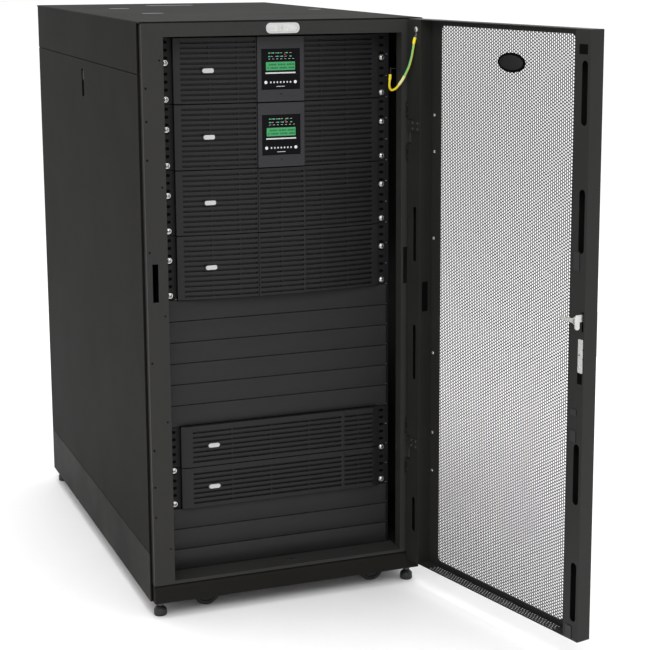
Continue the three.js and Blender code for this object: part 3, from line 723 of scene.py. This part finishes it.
def control_panel(unit):
    """A dark glass panel with a lit display, a row of lamps and a row of key marks."""
    node = f"{unit}_control_panel"
    _, (y0, y1), (z0, z1) = spans(node)
    middle = (z0 + z1) / 2
    keys = middle - 26.5
    shape = Shape().prism(rounded((-40.5, 40.5), (z0, z1), 2.2), "y", (y0, y1))
    shape.paint(1).prism(rounded((-31, 31), (middle - 2.5, middle + 14.5), 1.0), "y", (y0 - 0.35, y0 + 0.6))
    shape.paint(2)
    for row in range(2):
        for i in range(18):
            if (i * 7 + row * 5) % 6:
                x = -27.5 + i * 3.2
                shape.box((x, x + 2.0), (y0 - 0.5, y0 - 0.2), about(middle + 9.0 - row * 6.6, 1.6))
    shape.paint(3)
    for x, z in ((-24, 8), (-15, 8), (-4, 8), (14, 8), (-24, 15), (-6, 15), (4, 15), (22, 15)):
        shape.box(about(x, 1.8), (y0 - 0.3, y0 + 0.4), about(z1 - z, 1.0))
    shape.paint(4).box((8.4, 11.0), (y0 - 0.3, y0 + 0.4), (z1 - 12.2, z1 - 10.4))
    shape.paint(5)
    for z in (8, 15):
        for i in range(5):
            x = -21 + i * 10
            shape.box((x, x + 5.0), (y0 - 0.2, y0 + 0.4), about(z1 - z, 0.3))
    for i in range(7):
        x = -26 + i * 8.6
        shape.box((x, x + 4.0), (y0 - 0.2, y0 + 0.4), (z1 - 20.4, z1 - 19.7))
    shape.box((-32, 32), (y0 - 0.25, y0 + 0.4), (middle - 9.2, middle - 6.4))
    for i in range(7):
        x = -21 + i * 7
        shape.prism(oval((x, keys), 1.7, 1.9, 14), "y", (y0 - 0.25, y0 + 0.4))
    # A near-black disc round each key paints the shade in the gap round it.
    for side in (-1, 1):
        disc = oval((side * KEY_X, keys), 4.6, 4.6, 24)
        shape.paint(6).prism(disc, "y", (y0 - 0.15, y0 + 0.3))
    shape.paint(5).box((-9, 9), (y0 - 0.25, y0 + 0.4), (z0 + 5.0, z0 + 6.0))
    piece(f"{unit}_display", shape, *FIXED,
          [GLOSS, LCD, LCD_INK, LED_GREEN, LED_RED, PALE, SHADE_BLACK], "panel_plastic", [node], bevel=0.12)
    for name, side in SIDES:
        cap = f"{unit}_button_{name}"
        low, high = spans(cap)[1]
        button = Shape().turned([
            (0, low - 0.1), (2.2, low), (3.1, low + 0.35), (3.5, low + 1.0),
            (3.5, high - 1.2), (5.0, high - 1.2), (5.0, high), (0, high),
        ], "y", (side * KEY_X, keys), 32)
        piece(f"{unit}_key_{name}", button, CABINET, cap, BUTTON, "button_plastic", [cap])


def blank(node):
    """A snap-in blanking panel with a soft front edge and a catch at each end."""
    _, (y0, y1), (z0, z1) = spans(node)
    outline = [
        (y1, z0 - 0.4), (y1, z0 + 1.8), (y0 + 2, z0 + 1.8), (y0 + 2, z1 - 1.8), (y1, z1 - 1.8),
        (y1, z1 + 0.4), (y1 - 2, z1 + 0.4), (y1 - 2, z1), (y0 + 1.6, z1), (y0 + 0.5, z1 - 0.5),
        (y0, z1 - 1.6), (y0, z0 + 1.6), (y0 + 0.5, z0 + 0.5), (y0 + 1.6, z0), (y1 - 2, z0),
        (y1 - 2, z0 - 0.4),
    ]
    shape = Shape().prism(outline, "x", (-EAR_HALF, EAR_HALF))
    middle = (z0 + z1) / 2
    for side in (-1, 1):
        x = sorted((side * 236.5, side * 229.5))
        shape.prism(rounded(x, about(middle, 9), 1.5), "y", (y0 - 0.5, y0 + 0.6))
    piece(f"{node}_panel", shape, *FIXED, BLANK, "blank_plastic", [node], bevel=0.25)


def rack_screw(shape, x, z, front):
    """A washer and a domed head with a cross recess."""
    washer = [(0, 1.0), (5.6, 1.0), (5.9, 0.6), (5.9, 0.0), (0, 0.0)]
    head = [(0, 3.9), (1.9, 3.8), (3.3, 3.2), (4.2, 2.2), (4.4, 0.9), (0, 0.9)]
    shape.paint(0)
    for profile in (washer, head):
        shape.turned([(radius, front - height) for radius, height in profile], "y", (x, z), 24)
    # The cross recess is a near-black plate of painted shade.
    shape.paint(1).box(about(x, 2.3), (front - 4.0, front - 3.5), about(z, 0.55))
    shape.box(about(x, 0.55), (front - 4.0, front - 3.5), about(z, 2.3))


def rack_screws():
    shape = Shape()
    for unit in (unit for unit in LOUVERED_UNITS if unit != "power_module_upper"):
        low = spans(f"{unit}_chassis")[2][0] - 0.8
        for side in (-1, 1):
            for height in (6.35 + 3.5, 82.55):
                rack_screw(shape, side * HOLE_X, low + height, EAR_FRONT)
    piece("rack_screws", shape, *FIXED, [SCREW, SHADE_BLACK], "zinc_plate")


def front_rail(name, side):
    """A mounting rail with its square holes, three to a rack unit."""
    node = f"front_rail_{name}"
    _, (y0, y1), (z0, z1) = spans(node)
    xs = [222.0, *about(HOLE_X, SQUARE_HOLE / 2), 250.0]
    edges = [z0]
    for unit in range(25):
        for offset in HOLE_OFFSETS:
            centre = RACK_BOTTOM + unit * UNIT + offset
            edges += about(centre, SQUARE_HOLE / 2)
    edges.append(z1)
    shape = Shape()
    inner, across, outer = (sorted((side * a, side * b)) for a, b in zip(xs, xs[1:]))
    shape.box(outer, (y0, y0 + 2.5), (z0, z1))
    shape.box(inner, (y0, y0 + 2.5), (z0, z1))
    for low, high in zip(edges[0::2], edges[1::2]):
        shape.box(across, (y0 + 0.02, y0 + 2.48), (low, high))
    shape.box(sorted((side * 247.5, side * 250.0)), (y0 + 2.4, y1), (z0, z1))
    shape.paint(1)
    for unit in range(25):
        height = RACK_BOTTOM + unit * UNIT
        x = sorted((side * 243.4, side * 246.2))
        shape.box(x, (y0 - 0.12, y0 + 0.2), about(height, 0.3))
    piece(f"{node}_punched", shape, *FIXED, [INNER, PALE], "powder_coat", [node])


def rack_contents():
    for unit in ("ups_upper", "ups_lower"):
        louvered_bezel(unit, pocketed, [(-205, -52.4), (52.4, 205)], 12, [-147, -89, 89, 147])
        control_panel(unit)
        surround(unit)
    for unit in ("battery_upper", "battery_lower"):
        louvered_bezel(unit, bow, [(-205, -52.4), (-47.5, 47.5), (52.4, 205)], 12, [-147, -89, 0, 89, 147])
    for unit in ("power_module_upper", "power_module_lower"):
        louvered_bezel(unit, flat_face, [(-195, 134), (141, 205)], 7, [-110, -25, 60, 173])
    for unit in LOUVERED_UNITS:
        chassis(unit)
    for node in frame["nodes"]:
        if node.startswith("blank_"):
            blank(node)
    for name, side in SIDES:
        front_rail(name, side)
    rack_screws()


def surround(unit):
    """The lighter centre plate round a control panel, a little proud of the bezel."""
    z0, z1 = spans(f"{unit}_bezel")[2]
    p0, p1 = spans(f"{unit}_control_panel")[2]
    y = (31.9, 39.6)
    half = 49.6
    reach = 41.2
    shape = Shape().box((-half, half), y, (z0 + 0.6, p0 - 0.7))
    shape.box((-half, half), y, (p1 + 0.7, z1 - 0.6))
    shape.box((-half, -reach), y, (p0 - 0.9, p1 + 0.9))
    shape.box((reach, half), y, (p0 - 0.9, p1 + 0.9))
    shape.paint(1).rod(1.3, "y", (y[0] - 0.1, y[0] + 0.5), (0, p0 - 9.5), 16)
    piece(f"{unit}_centre_plate", shape, *FIXED, [FACE, SHADE_BLACK], "bezel_plastic")


# ---- Front door ----

DOOR_X = (-553.0, 1.0)
DOOR_Z = (61.0, 1223.0)
WINDOW_X = (-479.0, -73.0)
WINDOW_Z = (73.0, 1211.0)
SHEET_Y = (-21.5, -20.7)
HEX_PITCH = 6.4
HEX_WEB = 1.7
PLATE_SCREW_HEIGHTS = (1028, 953, 772, 527, 353, 269)


def hex_sheet(left, columns, z, y, pitch, web):
    """A closed sheet of hexagonal holes in staggered upright columns, starting at left and filling z."""
    shape = Shape()
    index = {}
    advance = pitch * math.sqrt(3) / 2
    outer = pitch / math.sqrt(3)
    inner = (pitch - web) / math.sqrt(3)
    corners = [(math.cos(math.radians(60 * k)), math.sin(math.radians(60 * k))) for k in range(6)]

    def vertex(x, height, side):
        key = (round(x * 20), round(height * 20), side)
        if key not in index:
            index[key] = len(shape.verts)
            shape.verts.append((x, y[side], height))
        return index[key]

    rows = int((z[1] - z[0]) / pitch)
    for column, row in ((c, r) for c in range(columns) for r in range(rows)):
        cx = left + advance * (column + 0.5)
        cz = z[0] + pitch * (row + 0.5 + 0.5 * (column % 2))
        rim = [[vertex(cx + outer * s, cz + outer * t, side) for s, t in corners] for side in (0, 1)]
        hole = []
        for side in (0, 1):
            hole.append([len(shape.verts) + k for k in range(6)])
            shape.verts.extend((cx + inner * s, y[side], cz + inner * t) for s, t in corners)
        for k in range(6):
            n = (k + 1) % 6
            shape.faces.append([rim[0][k], rim[0][n], hole[0][n], hole[0][k]])
            shape.faces.append([rim[1][n], rim[1][k], hole[1][k], hole[1][n]])
            shape.faces.append([hole[0][k], hole[0][n], hole[1][n], hole[1][k]])
    edges = dict.fromkeys(edge for face in shape.faces for edge in zip(face, face[1:] + face[:1]))
    twin = {i: index[(x, height, 1)] for (x, height, side), i in index.items() if side == 0}
    for i, j in edges:
        if i in twin and j in twin and (j, i) not in edges:
            shape.faces.append([j, i, twin[i], twin[j]])
    return shape


def sheet_piece(name, shape, space, body, surface, slot, replaces):
    """A perforated sheet keeps its faces flat, so it skips the edge work of piece()."""
    mesh = mesh_of(name, shape)
    mesh.transform(space)
    mesh.materials.append(surface)
    declare(linked(name, mesh), body, replaces)


def margins(shape, outer_x, outer_z, inner_x, inner_z, y, radius):
    """A plain border round a window with round corners."""
    shape.box((outer_x[0], inner_x[0]), y, outer_z)
    shape.box((inner_x[1], outer_x[1]), y, outer_z)
    inset = (y[0] + 0.01, y[1] - 0.01)
    shape.box((inner_x[0] - 0.5, inner_x[1] + 0.5), inset, (outer_z[0], inner_z[0]))
    shape.box((inner_x[0] - 0.5, inner_x[1] + 0.5), inset, (inner_z[1], outer_z[1]))
    for cx, sx in ((inner_x[0], 1), (inner_x[1], -1)):
        for cz, sz in ((inner_z[0], 1), (inner_z[1], -1)):
            corner = [
                (cx + sx * radius * (1 - math.cos(t)), cz + sz * radius * (1 - math.sin(t)))
                for t in (math.pi / 2 * i / 6 for i in range(7))
            ]
            shape.prism([(cx - sx * 0.4, cz - sz * 0.4)] + corner, "y", (y[0] + 0.02, y[1] - 0.02))
    return shape


def front_door():
    plate_x = (DOOR_X[0] + 42.5, DOOR_X[1] - 42.5)
    plate_z = (DOOR_Z[0] + 2.0, DOOR_Z[1] - 2.0)
    advance = HEX_PITCH * math.sqrt(3) / 2
    start = WINDOW_X[0] - 5
    columns = 2 * math.ceil((WINDOW_X[1] + 4 - start) / advance / 6)
    for number, part in enumerate(("latch_side", "middle", "hinge_side")):
        left = start + number * columns * advance
        sheet = hex_sheet(left, columns, (WINDOW_Z[0] - 6, WINDOW_Z[1] + 6), SHEET_Y, HEX_PITCH, HEX_WEB)
        sheet_piece(f"front_door_mesh_{part}", sheet, *ON_DOOR, MESH_POWDER, "perforated_sheet",
                    ["front_door_mesh"])
    border_y = (SHEET_Y[0] - 0.2, SHEET_Y[1] + 0.2)
    border = margins(Shape(), plate_x, plate_z, WINDOW_X, WINDOW_Z, border_y, 10.0)
    piece("front_door_mesh_border", border, *ON_DOOR, DOOR_POWDER, "powder_coat", ["front_door_mesh"])
    door_trim()
    door_shell()


def door_shell():
    """The folded door frame with its vent holes through the top and bottom flanges."""
    holes = Shape()
    for z in ((DOOR_Z[0] - 1, DOOR_Z[0] + 3), (DOOR_Z[1] - 3, DOOR_Z[1] + 1)):
        for row in range(4):
            for i in range(50):
                x = WINDOW_X[0] + 4 + (i + 0.5 * (row % 2)) * 8.0
                holes.prism(oval((x, -15 + row * 5.6), 2.9, 2.3, 8), "z", z)
    carved("front_door_frame", "front_door_shell", holes, *ON_DOOR, DOOR_POWDER, "powder_coat")


def door_trim():
    """Small hardware on the inside of the door: plate screws, brackets, slots and a plain oval plate."""
    face = SHEET_Y[1] + 0.2
    shape = Shape()
    for z in PLATE_SCREW_HEIGHTS:
        shape.turned([(0, face), (3.6, face), (3.4, face + 1.1), (2.0, face + 1.7), (0, face + 1.8)], "y",
                     (-52, z), 20)
    shape.paint(1).prism(oval((-298, 1149), 41, 19, 40), "y", (SHEET_Y[1] + 0.05, SHEET_Y[1] + 2.4))
    shape.paint(2).prism(oval((-298, 1149), 35, 14, 40), "y", (SHEET_Y[1] + 2.0, SHEET_Y[1] + 3.0))
    for z0, z1 in ((781, 815), (505, 517), (454, 476), (64, 89)):
        shape.box((-536, -520), (DOOR_LIP - 0.3, DOOR_LIP + 1.5), (z0, z1))
    # The near-black plates here and below paint the shade of slots and cut-outs.
    shape.paint(1).box((-545, -522), (DOOR_LIP - 0.2, DOOR_LIP + 0.25), (1178, 1196))
    shape.paint(3).box((-549, -538), (DOOR_LIP - 0.2, DOOR_LIP + 2.0), (594, 601))
    shape.paint(1).box((-549, -536), (DOOR_LIP - 0.2, DOOR_LIP + 0.3), (568, 590))
    shape.paint(1).prism(rounded((DOOR_X[1] - 44.2, DOOR_X[1] - 41.8), (617, 679), 1.0), "y", (-12, 1))
    piece("front_door_fittings", shape, *ON_DOOR, [SCREW, SHADE_BLACK, HANDLE, ZINC], "powder_coat", bevel=0.3)


# ---- Locks ----

SPINDLE_X = -530.0
SPINDLE_Z = 686.0
LEVER_Y = (-42.0, -34.3)


def arc(centre, radius, start, end, steps=10):
    """Points on an arc between two angles in degrees."""
    turns = [math.radians(start + (end - start) * i / steps) for i in range(steps + 1)]
    return [(centre[0] + radius * math.cos(t), centre[1] + radius * math.sin(t)) for t in turns]


def escutcheon():
    x, z = SPINDLE_X, SPINDLE_Z
    shape = Shape().prism(rounded(about(x, 17), (z - 76, z + 22), 8.0), "y", (-29.6, -23.8))
    shape.prism(rounded(about(x, 14.5), (z - 73.5, z + 19.5), 7.0), "y", (-31.4, -29.5))
    cylinder = [(0, -30), (8.2, -30), (8.2, -32.2), (7.4, -32.8), (0, -32.8)]
    shape.paint(1).turned(cylinder, "y", (x, z - 52), 32)
    # The keyway is a near-black plate of painted shade.
    shape.paint(2).box(about(x, 0.8), (-33.0, -32.6), (z - 57, z - 47))
    piece("handle_back_plate", shape, *ON_DOOR, [HANDLE, STEEL, SHADE_BLACK], "handle_plastic",
          ["handle_escutcheon"], bevel=0.6, segments=3)


def spindle():
    x, z = SPINDLE_X, SPINDLE_Z
    shape = Shape().rod(9.0, "y", (LEVER_Y[1] + 0.3, 10.0), (x, z), 36, 0.8)
    shape.prism(rounded(about(x, 6.5), (-41.0, -33.0), 3.2), "z", about(z, 3))
    arm = arc((x, z), 7.5, 100, 260) + [(x + 10, z - 4.6)] + arc((x + 42.5, z - 0.5), 3.0, -90, 90)
    arm.append((x + 10, z + 4.6))
    shape.prism(arm, "y", (7.8, 10.0))
    piece("handle_drive", shape, DOOR, "handle_spindle", ZINC, "zinc_plate", ["handle_spindle"], bevel=0.4)


def lever():
    x, z = SPINDLE_X, SPINDLE_Z
    middle = sum(LEVER_Y) / 2
    shape = Shape()
    grip = [(x + 10.5, z - 10), (x + 54, z - 10)] + arc((x + 54, z), 10.0, -75, 75, 12) + [(x + 54, z + 10)]
    shape.prism(grip + [(x + 10.5, z + 10)], "y", LEVER_Y)
    for low, high in ((z - 10, z - 3.7), (z + 3.7, z + 10)):
        cheek = arc((x, middle), 3.85, 90, 270) + [(x + 11, LEVER_Y[0]), (x + 11, LEVER_Y[1])]
        shape.prism(cheek, "z", (low, high))
    shape.paint(1).rod(1.7, "z", about(z, 10.2), (x, middle), 16, 0.2)
    piece("handle_grip", shape, DOOR, "handle_lever", [HANDLE, STEEL], "handle_plastic", ["handle_lever"],
          bevel=1.0, segments=3)


def bolt():
    outline = [(-16, 630), (3, 630), (4, 631), (4, 688), (15.5, 688), (15.5, 676.5), (17.5, 674), (23.5, 674)]
    outline += [(26, 677), (26, 698), (22, 702), (-16, 702), (-17, 701), (-17, 631)]
    shape = Shape().prism(outline, "x", (-548.5, -545.5))
    # The bolt's slots are near-black plates of painted shade.
    shape.paint(1)
    for z in (645, 668):
        shape.prism(rounded((-9, -4), about(z, 6), 2.4), "x", (-548.6, -545.4))
    piece("latch_hook", shape, DOOR, "latch_bolt", [ZINC, SHADE_BLACK], "zinc_plate", ["latch_bolt"], bevel=0.4)
    cover = Shape().prism(rounded((-551, -538), (590, 654), 1.5), "y", (7.8, 9.1))
    cover.prism(rounded((-550.4, -547.6), (591, 653), 1.2), "y", (9.0, 10.0))
    cover.paint(1).rod(1.5, "y", (9.0, 9.25), (-541.5, 624), 16)
    cover.paint(0).turned([(0, 9.0), (2.6, 9.0), (2.2, 9.8), (0, 10.0)], "y", (-543, 600), 20)
    piece("latch_cover_strip", cover, *ON_DOOR, [ZINC, SHADE_BLACK], "zinc_plate", ["latch_cover"], bevel=0.25)


def rear_handle():
    node = "rear_latch"
    x, y, z = spans(node)
    centre = (sum(x) / 2, z[0] + 34)
    shape = Shape().rod(8.5, "y", (y[0] + 0.2, y[1] - 6), centre, 32, 0.6)
    shape.prism(rounded(about(centre[0], 6), about(centre[1], 34), 5.6), "y",
                (y[1] - 8, y[1]))
    shape.paint(1).prism(rounded(about(centre[0], 5), (centre[1] - 6, centre[1] + 42), 4.6), "y",
                         (y[0], y[0] + 3.5))
    piece("rear_handle_and_cam", shape, CABINET, node, [HANDLE, ZINC], "handle_plastic", [node], bevel=1.0,
          segments=3)


def side_slide(name, side):
    node = f"side_latch_{name}"
    _, y, z = spans(node)
    shape = Shape().prism(rounded(y, z, 2.5), "x", sorted((side * 291.4, side * 297.2)))
    for i in range(5):
        low = z[0] + 4 + i * 3.6
        shape.box(sorted((side * 297.0, side * 298.6)), (y[0] + 1.5, y[1] - 1.5), (low, low + 1.7))
    piece(f"{node}_thumb", shape, CABINET, node, HANDLE, "handle_plastic", [node], bevel=0.4)


# ---- Rear doors ----

REAR_HINGE_X = 281.0
REAR_PITCH = 10.0
REAR_WEB = 2.4


def rear_door(name, side):
    node = f"rear_door_{name}"
    x, y, z = spans(node)
    rim = 2.5
    border = 34.0
    window_x = (x[0] + border, x[1] - border)
    window_z = (z[0] + border, z[1] - border)
    face = (y[1] - 2.2, y[1] - 0.05)
    shape = Shape().box((x[0], x[0] + rim), y, z)
    shape.box((x[1] - rim, x[1]), y, z)
    shape.box((x[0] + 1, x[1] - 1), (y[0], y[1] - 0.02), (z[0], z[0] + rim))
    shape.box((x[0] + 1, x[1] - 1), (y[0], y[1] - 0.02), (z[1] - rim, z[1]))
    margins(shape, (x[0] + 1, x[1] - 1), (z[0] + 1, z[1] - 1), window_x, window_z, face, 12.0)
    for height in (z[0] + 150, (z[0] + z[1]) / 2, z[1] - 150):
        for reach in ((height - 30, height - 1), (height + 1, height + 30)):
            shape.rod(4.6, "z", reach, (side * REAR_HINGE_X, y[1] - 0.5), 20, 0.5)
    piece(f"{node}_pan", shape, CABINET, node, POWDER, "powder_coat", [node], bevel=0.5)
    columns = math.ceil((window_x[1] - window_x[0] + 12) / (REAR_PITCH * math.sqrt(3) / 2))
    sheet = hex_sheet(window_x[0] - 6, columns, (window_z[0] - 6, window_z[1] + 8), (y[1] - 1.8, y[1] - 0.8),
                      REAR_PITCH, REAR_WEB)
    sheet_piece(f"{node}_mesh", sheet, CABINET, node, MESH_POWDER, "perforated_sheet", [node])


# ---- Base, casters and feet ----

def caster(end, name):
    fork = f"caster_fork_{end}_{name}"
    wheel = f"caster_wheel_{end}_{name}"
    wx, wy, wz = spans(wheel)
    cx, cy = sum(wx) / 2, sum(wy) / 2
    radius = (wz[1] - wz[0]) / 2
    cz = wz[0] + radius
    half = (wy[1] - wy[0]) / 2
    rim = [(5, 0), (8, 0), (9, 1.5), (19, 2.5), (20.5, 0.6)]
    rim += [(radius - 3, 0.6), (radius - 0.8, 2.5), (radius, 6)]
    profile = [(r, cy - half + inset) for r, inset in rim]
    profile += [(r, cy + half - inset) for r, inset in rim[::-1]]
    tyre = Shape().turned(profile, "y", (cx, cz), 56)
    piece(f"{wheel}_tyre", tyre, CABINET, wheel, TYRE, "wheel_rubber", [wheel])
    top = spans(fork)[2][1]
    stem_x = cx - 15.0
    body = Shape()
    bearing = [(0, 0), (22.5, 0), (23, 1), (23, 3), (19, 4.5), (17, 9), (0, 9)]
    body.turned([(radius, top - drop) for radius, drop in bearing], "z", (stem_x, cy), 40)
    for side in (-1, 1):
        y = sorted((cy + side * 12.5, cy + side * 15.0))
        outline = [(stem_x - 15, top - 5), (stem_x + 19, top - 5), (cx + 10, cz + 7)]
        outline += [(cx + 8.5 * math.cos(t), cz + 8.5 * math.sin(t))
                    for t in (math.radians(-10 - 16 * i) for i in range(11))]
        outline.append((cx - 10, cz + 6))
        body.prism(outline, "y", y)
    body.paint(1).rod(3.9, "y", about(cy, 16.4), (cx, cz), 20, 0.6)
    for nut in ((cy - 17.2, cy - 15.0), (cy + 15.0, cy + 17.2)):
        body.rod(6.2, "y", nut, (cx, cz), 6)
    piece(f"{fork}_yoke", body, CABINET, fork, [STEEL, SCREW], "caster_steel", [fork], bevel=0.4)


def levelling_foot(end, name):
    node = f"levelling_foot_{end}_{name}"
    x, y, z = spans(node)
    centre = (sum(x) / 2, sum(y) / 2)
    shape = Shape().turned([
        (0, 0), (11.2, 0), (12.8, 0.9), (13.5, 2.4), (13.5, 12.4), (12.9, 13.8), (11.2, 16.2), (8.6, 18.4),
        (7.4, 19.6), (0, 19.6),
    ], "z", centre, 40)
    shape.paint(1).rod(4.7, "z", (19, z[1]), centre, 24)
    height = 33.0
    while height < z[1] - 1:
        shape.turned([(4.4, height), (5.0, height + 0.6), (4.4, height + 1.2)], "z", centre, 24)
        height += 1.5
    shape.rod(8.6, "z", (22.5, 29.0), centre, 6, 0.6)
    piece(f"{node}_pad", shape, CABINET, node, [FOOT, STEEL], "foot_plastic", [node], bevel=0.25)


# ---- Frame details ----

HINGE_X = 270.0
HINGE_HEIGHTS = (313.5, 992.0)
FRAME_HOLE_HEIGHTS = (1096, 1031, 955, 771, 545, 363, 285, 221)
INNER_HOLE_HEIGHTS = (1150, 900, 640, 420, 150)


def seam_shade_strips():
    """Dark strips of painted shade that fill the seams above and below each side panel."""
    shape = Shape()
    for side in (-1, 1):
        for z in ((1109, 1140), (118, 152)):
            shape.box(sorted((side * 289.4, side * 290.8)), (42, 989), z)
    piece("seam_shade_strips", shape, *FIXED, SHADE_BLACK, "wheel_rubber", bevel=0.2)


def hinge_plates():
    """A screwed plate on the frame at each door hinge, and the screws of the door's own leaf."""
    plates = Shape()
    leaves = Shape()
    for height in HINGE_HEIGHTS:
        for low, high in ((height - 62, height - 27), (height + 27, height + 62)):
            plates.paint(0).prism(rounded((HINGE_X - 10, HINGE_X + 20), (low, high), 4.0), "y", (-0.55, 0.1))
            for x in (HINGE_X - 3, HINGE_X + 13):
                for z in (low + 8, high - 8):
                    plates.paint(1).rod(2.9, "y", (-0.65, -0.3), (x, z), 20, 0.1)
        for x in (-31, -15):
            for z in (height + 6.5, height + 18.5):
                leaves.turned([(0, 9.3), (3.2, 9.3), (2.8, 9.9), (1.6, 10.1), (0, 10.15)], "y", (x, z), 20)
    piece("hinge_plates", plates, *FIXED, [HANDLE, STEEL], "powder_coat", bevel=0.3)
    piece("hinge_leaf_screws", leaves, *ON_DOOR, STEEL, "zinc_plate")


def frame_details():
    """Punched holes, slots and a plain badge on the front frame, and cable ports on the roof."""
    shape = Shape()
    # The punched holes are near-black discs of painted shade, not cut holes.
    for z in FRAME_HOLE_HEIGHTS:
        for x in (-289, 289):
            shape.rod(2.3, "y", (-0.15, 0.4), (x, z), 16)
    for z in INNER_HOLE_HEIGHTS:
        shape.rod(2.0, "y", (-0.15, 0.4), (-260, z), 16)
    shape.paint(1).prism(rounded((-41, 29), (1198, 1219), 9.0), "y", (-2.4, 0.2))
    shape.paint(2).prism(rounded((-36, 24), (1202, 1215), 6.0), "y", (-3.0, -2.0))
    piece("frame_marks", shape, *FIXED, [SHADE_BLACK, BADGE, ZINC], "powder_coat", bevel=0.2)
    ports = Shape()
    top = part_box("roof_panel")[1].z / MM
    for x, y in (((-190, -142), 404), ((-190, -142), 715), ((231, 262), 507), ((-60, 60), 880)):
        ports.prism(rounded(x, about(y, 14), 12.0), "z", (top - 0.4, top + 0.25))
    piece("roof_ports", ports, *FIXED, HANDLE, "powder_coat", bevel=0.2)
    tab = Shape().prism(rounded((2, 22), (24, 33), 2.0), "z", (79.4, 81.4))
    tab.paint(1).rod(2.2, "z", (81.2, 81.6), (12, 28.5), 20)
    piece("sill_tab", tab, *FIXED, [STEEL, SHADE_BLACK], "powder_coat", bevel=0.2)


# ---- Build ----

make_camera()
ground_wire()
make_light()
make_floor()
dress_nodes()
frame_details()
hinge_plates()
seam_shade_strips()
rack_contents()
front_door()
escutcheon()
spindle()
lever()
bolt()
for name, side in SIDES:
    rear_door(name, side)
rear_handle()
for name, side in SIDES:
    side_slide(name, side)
for end in ("front", "rear"):
    for name, _ in SIDES:
        caster(end, name)
        levelling_foot(end, name)
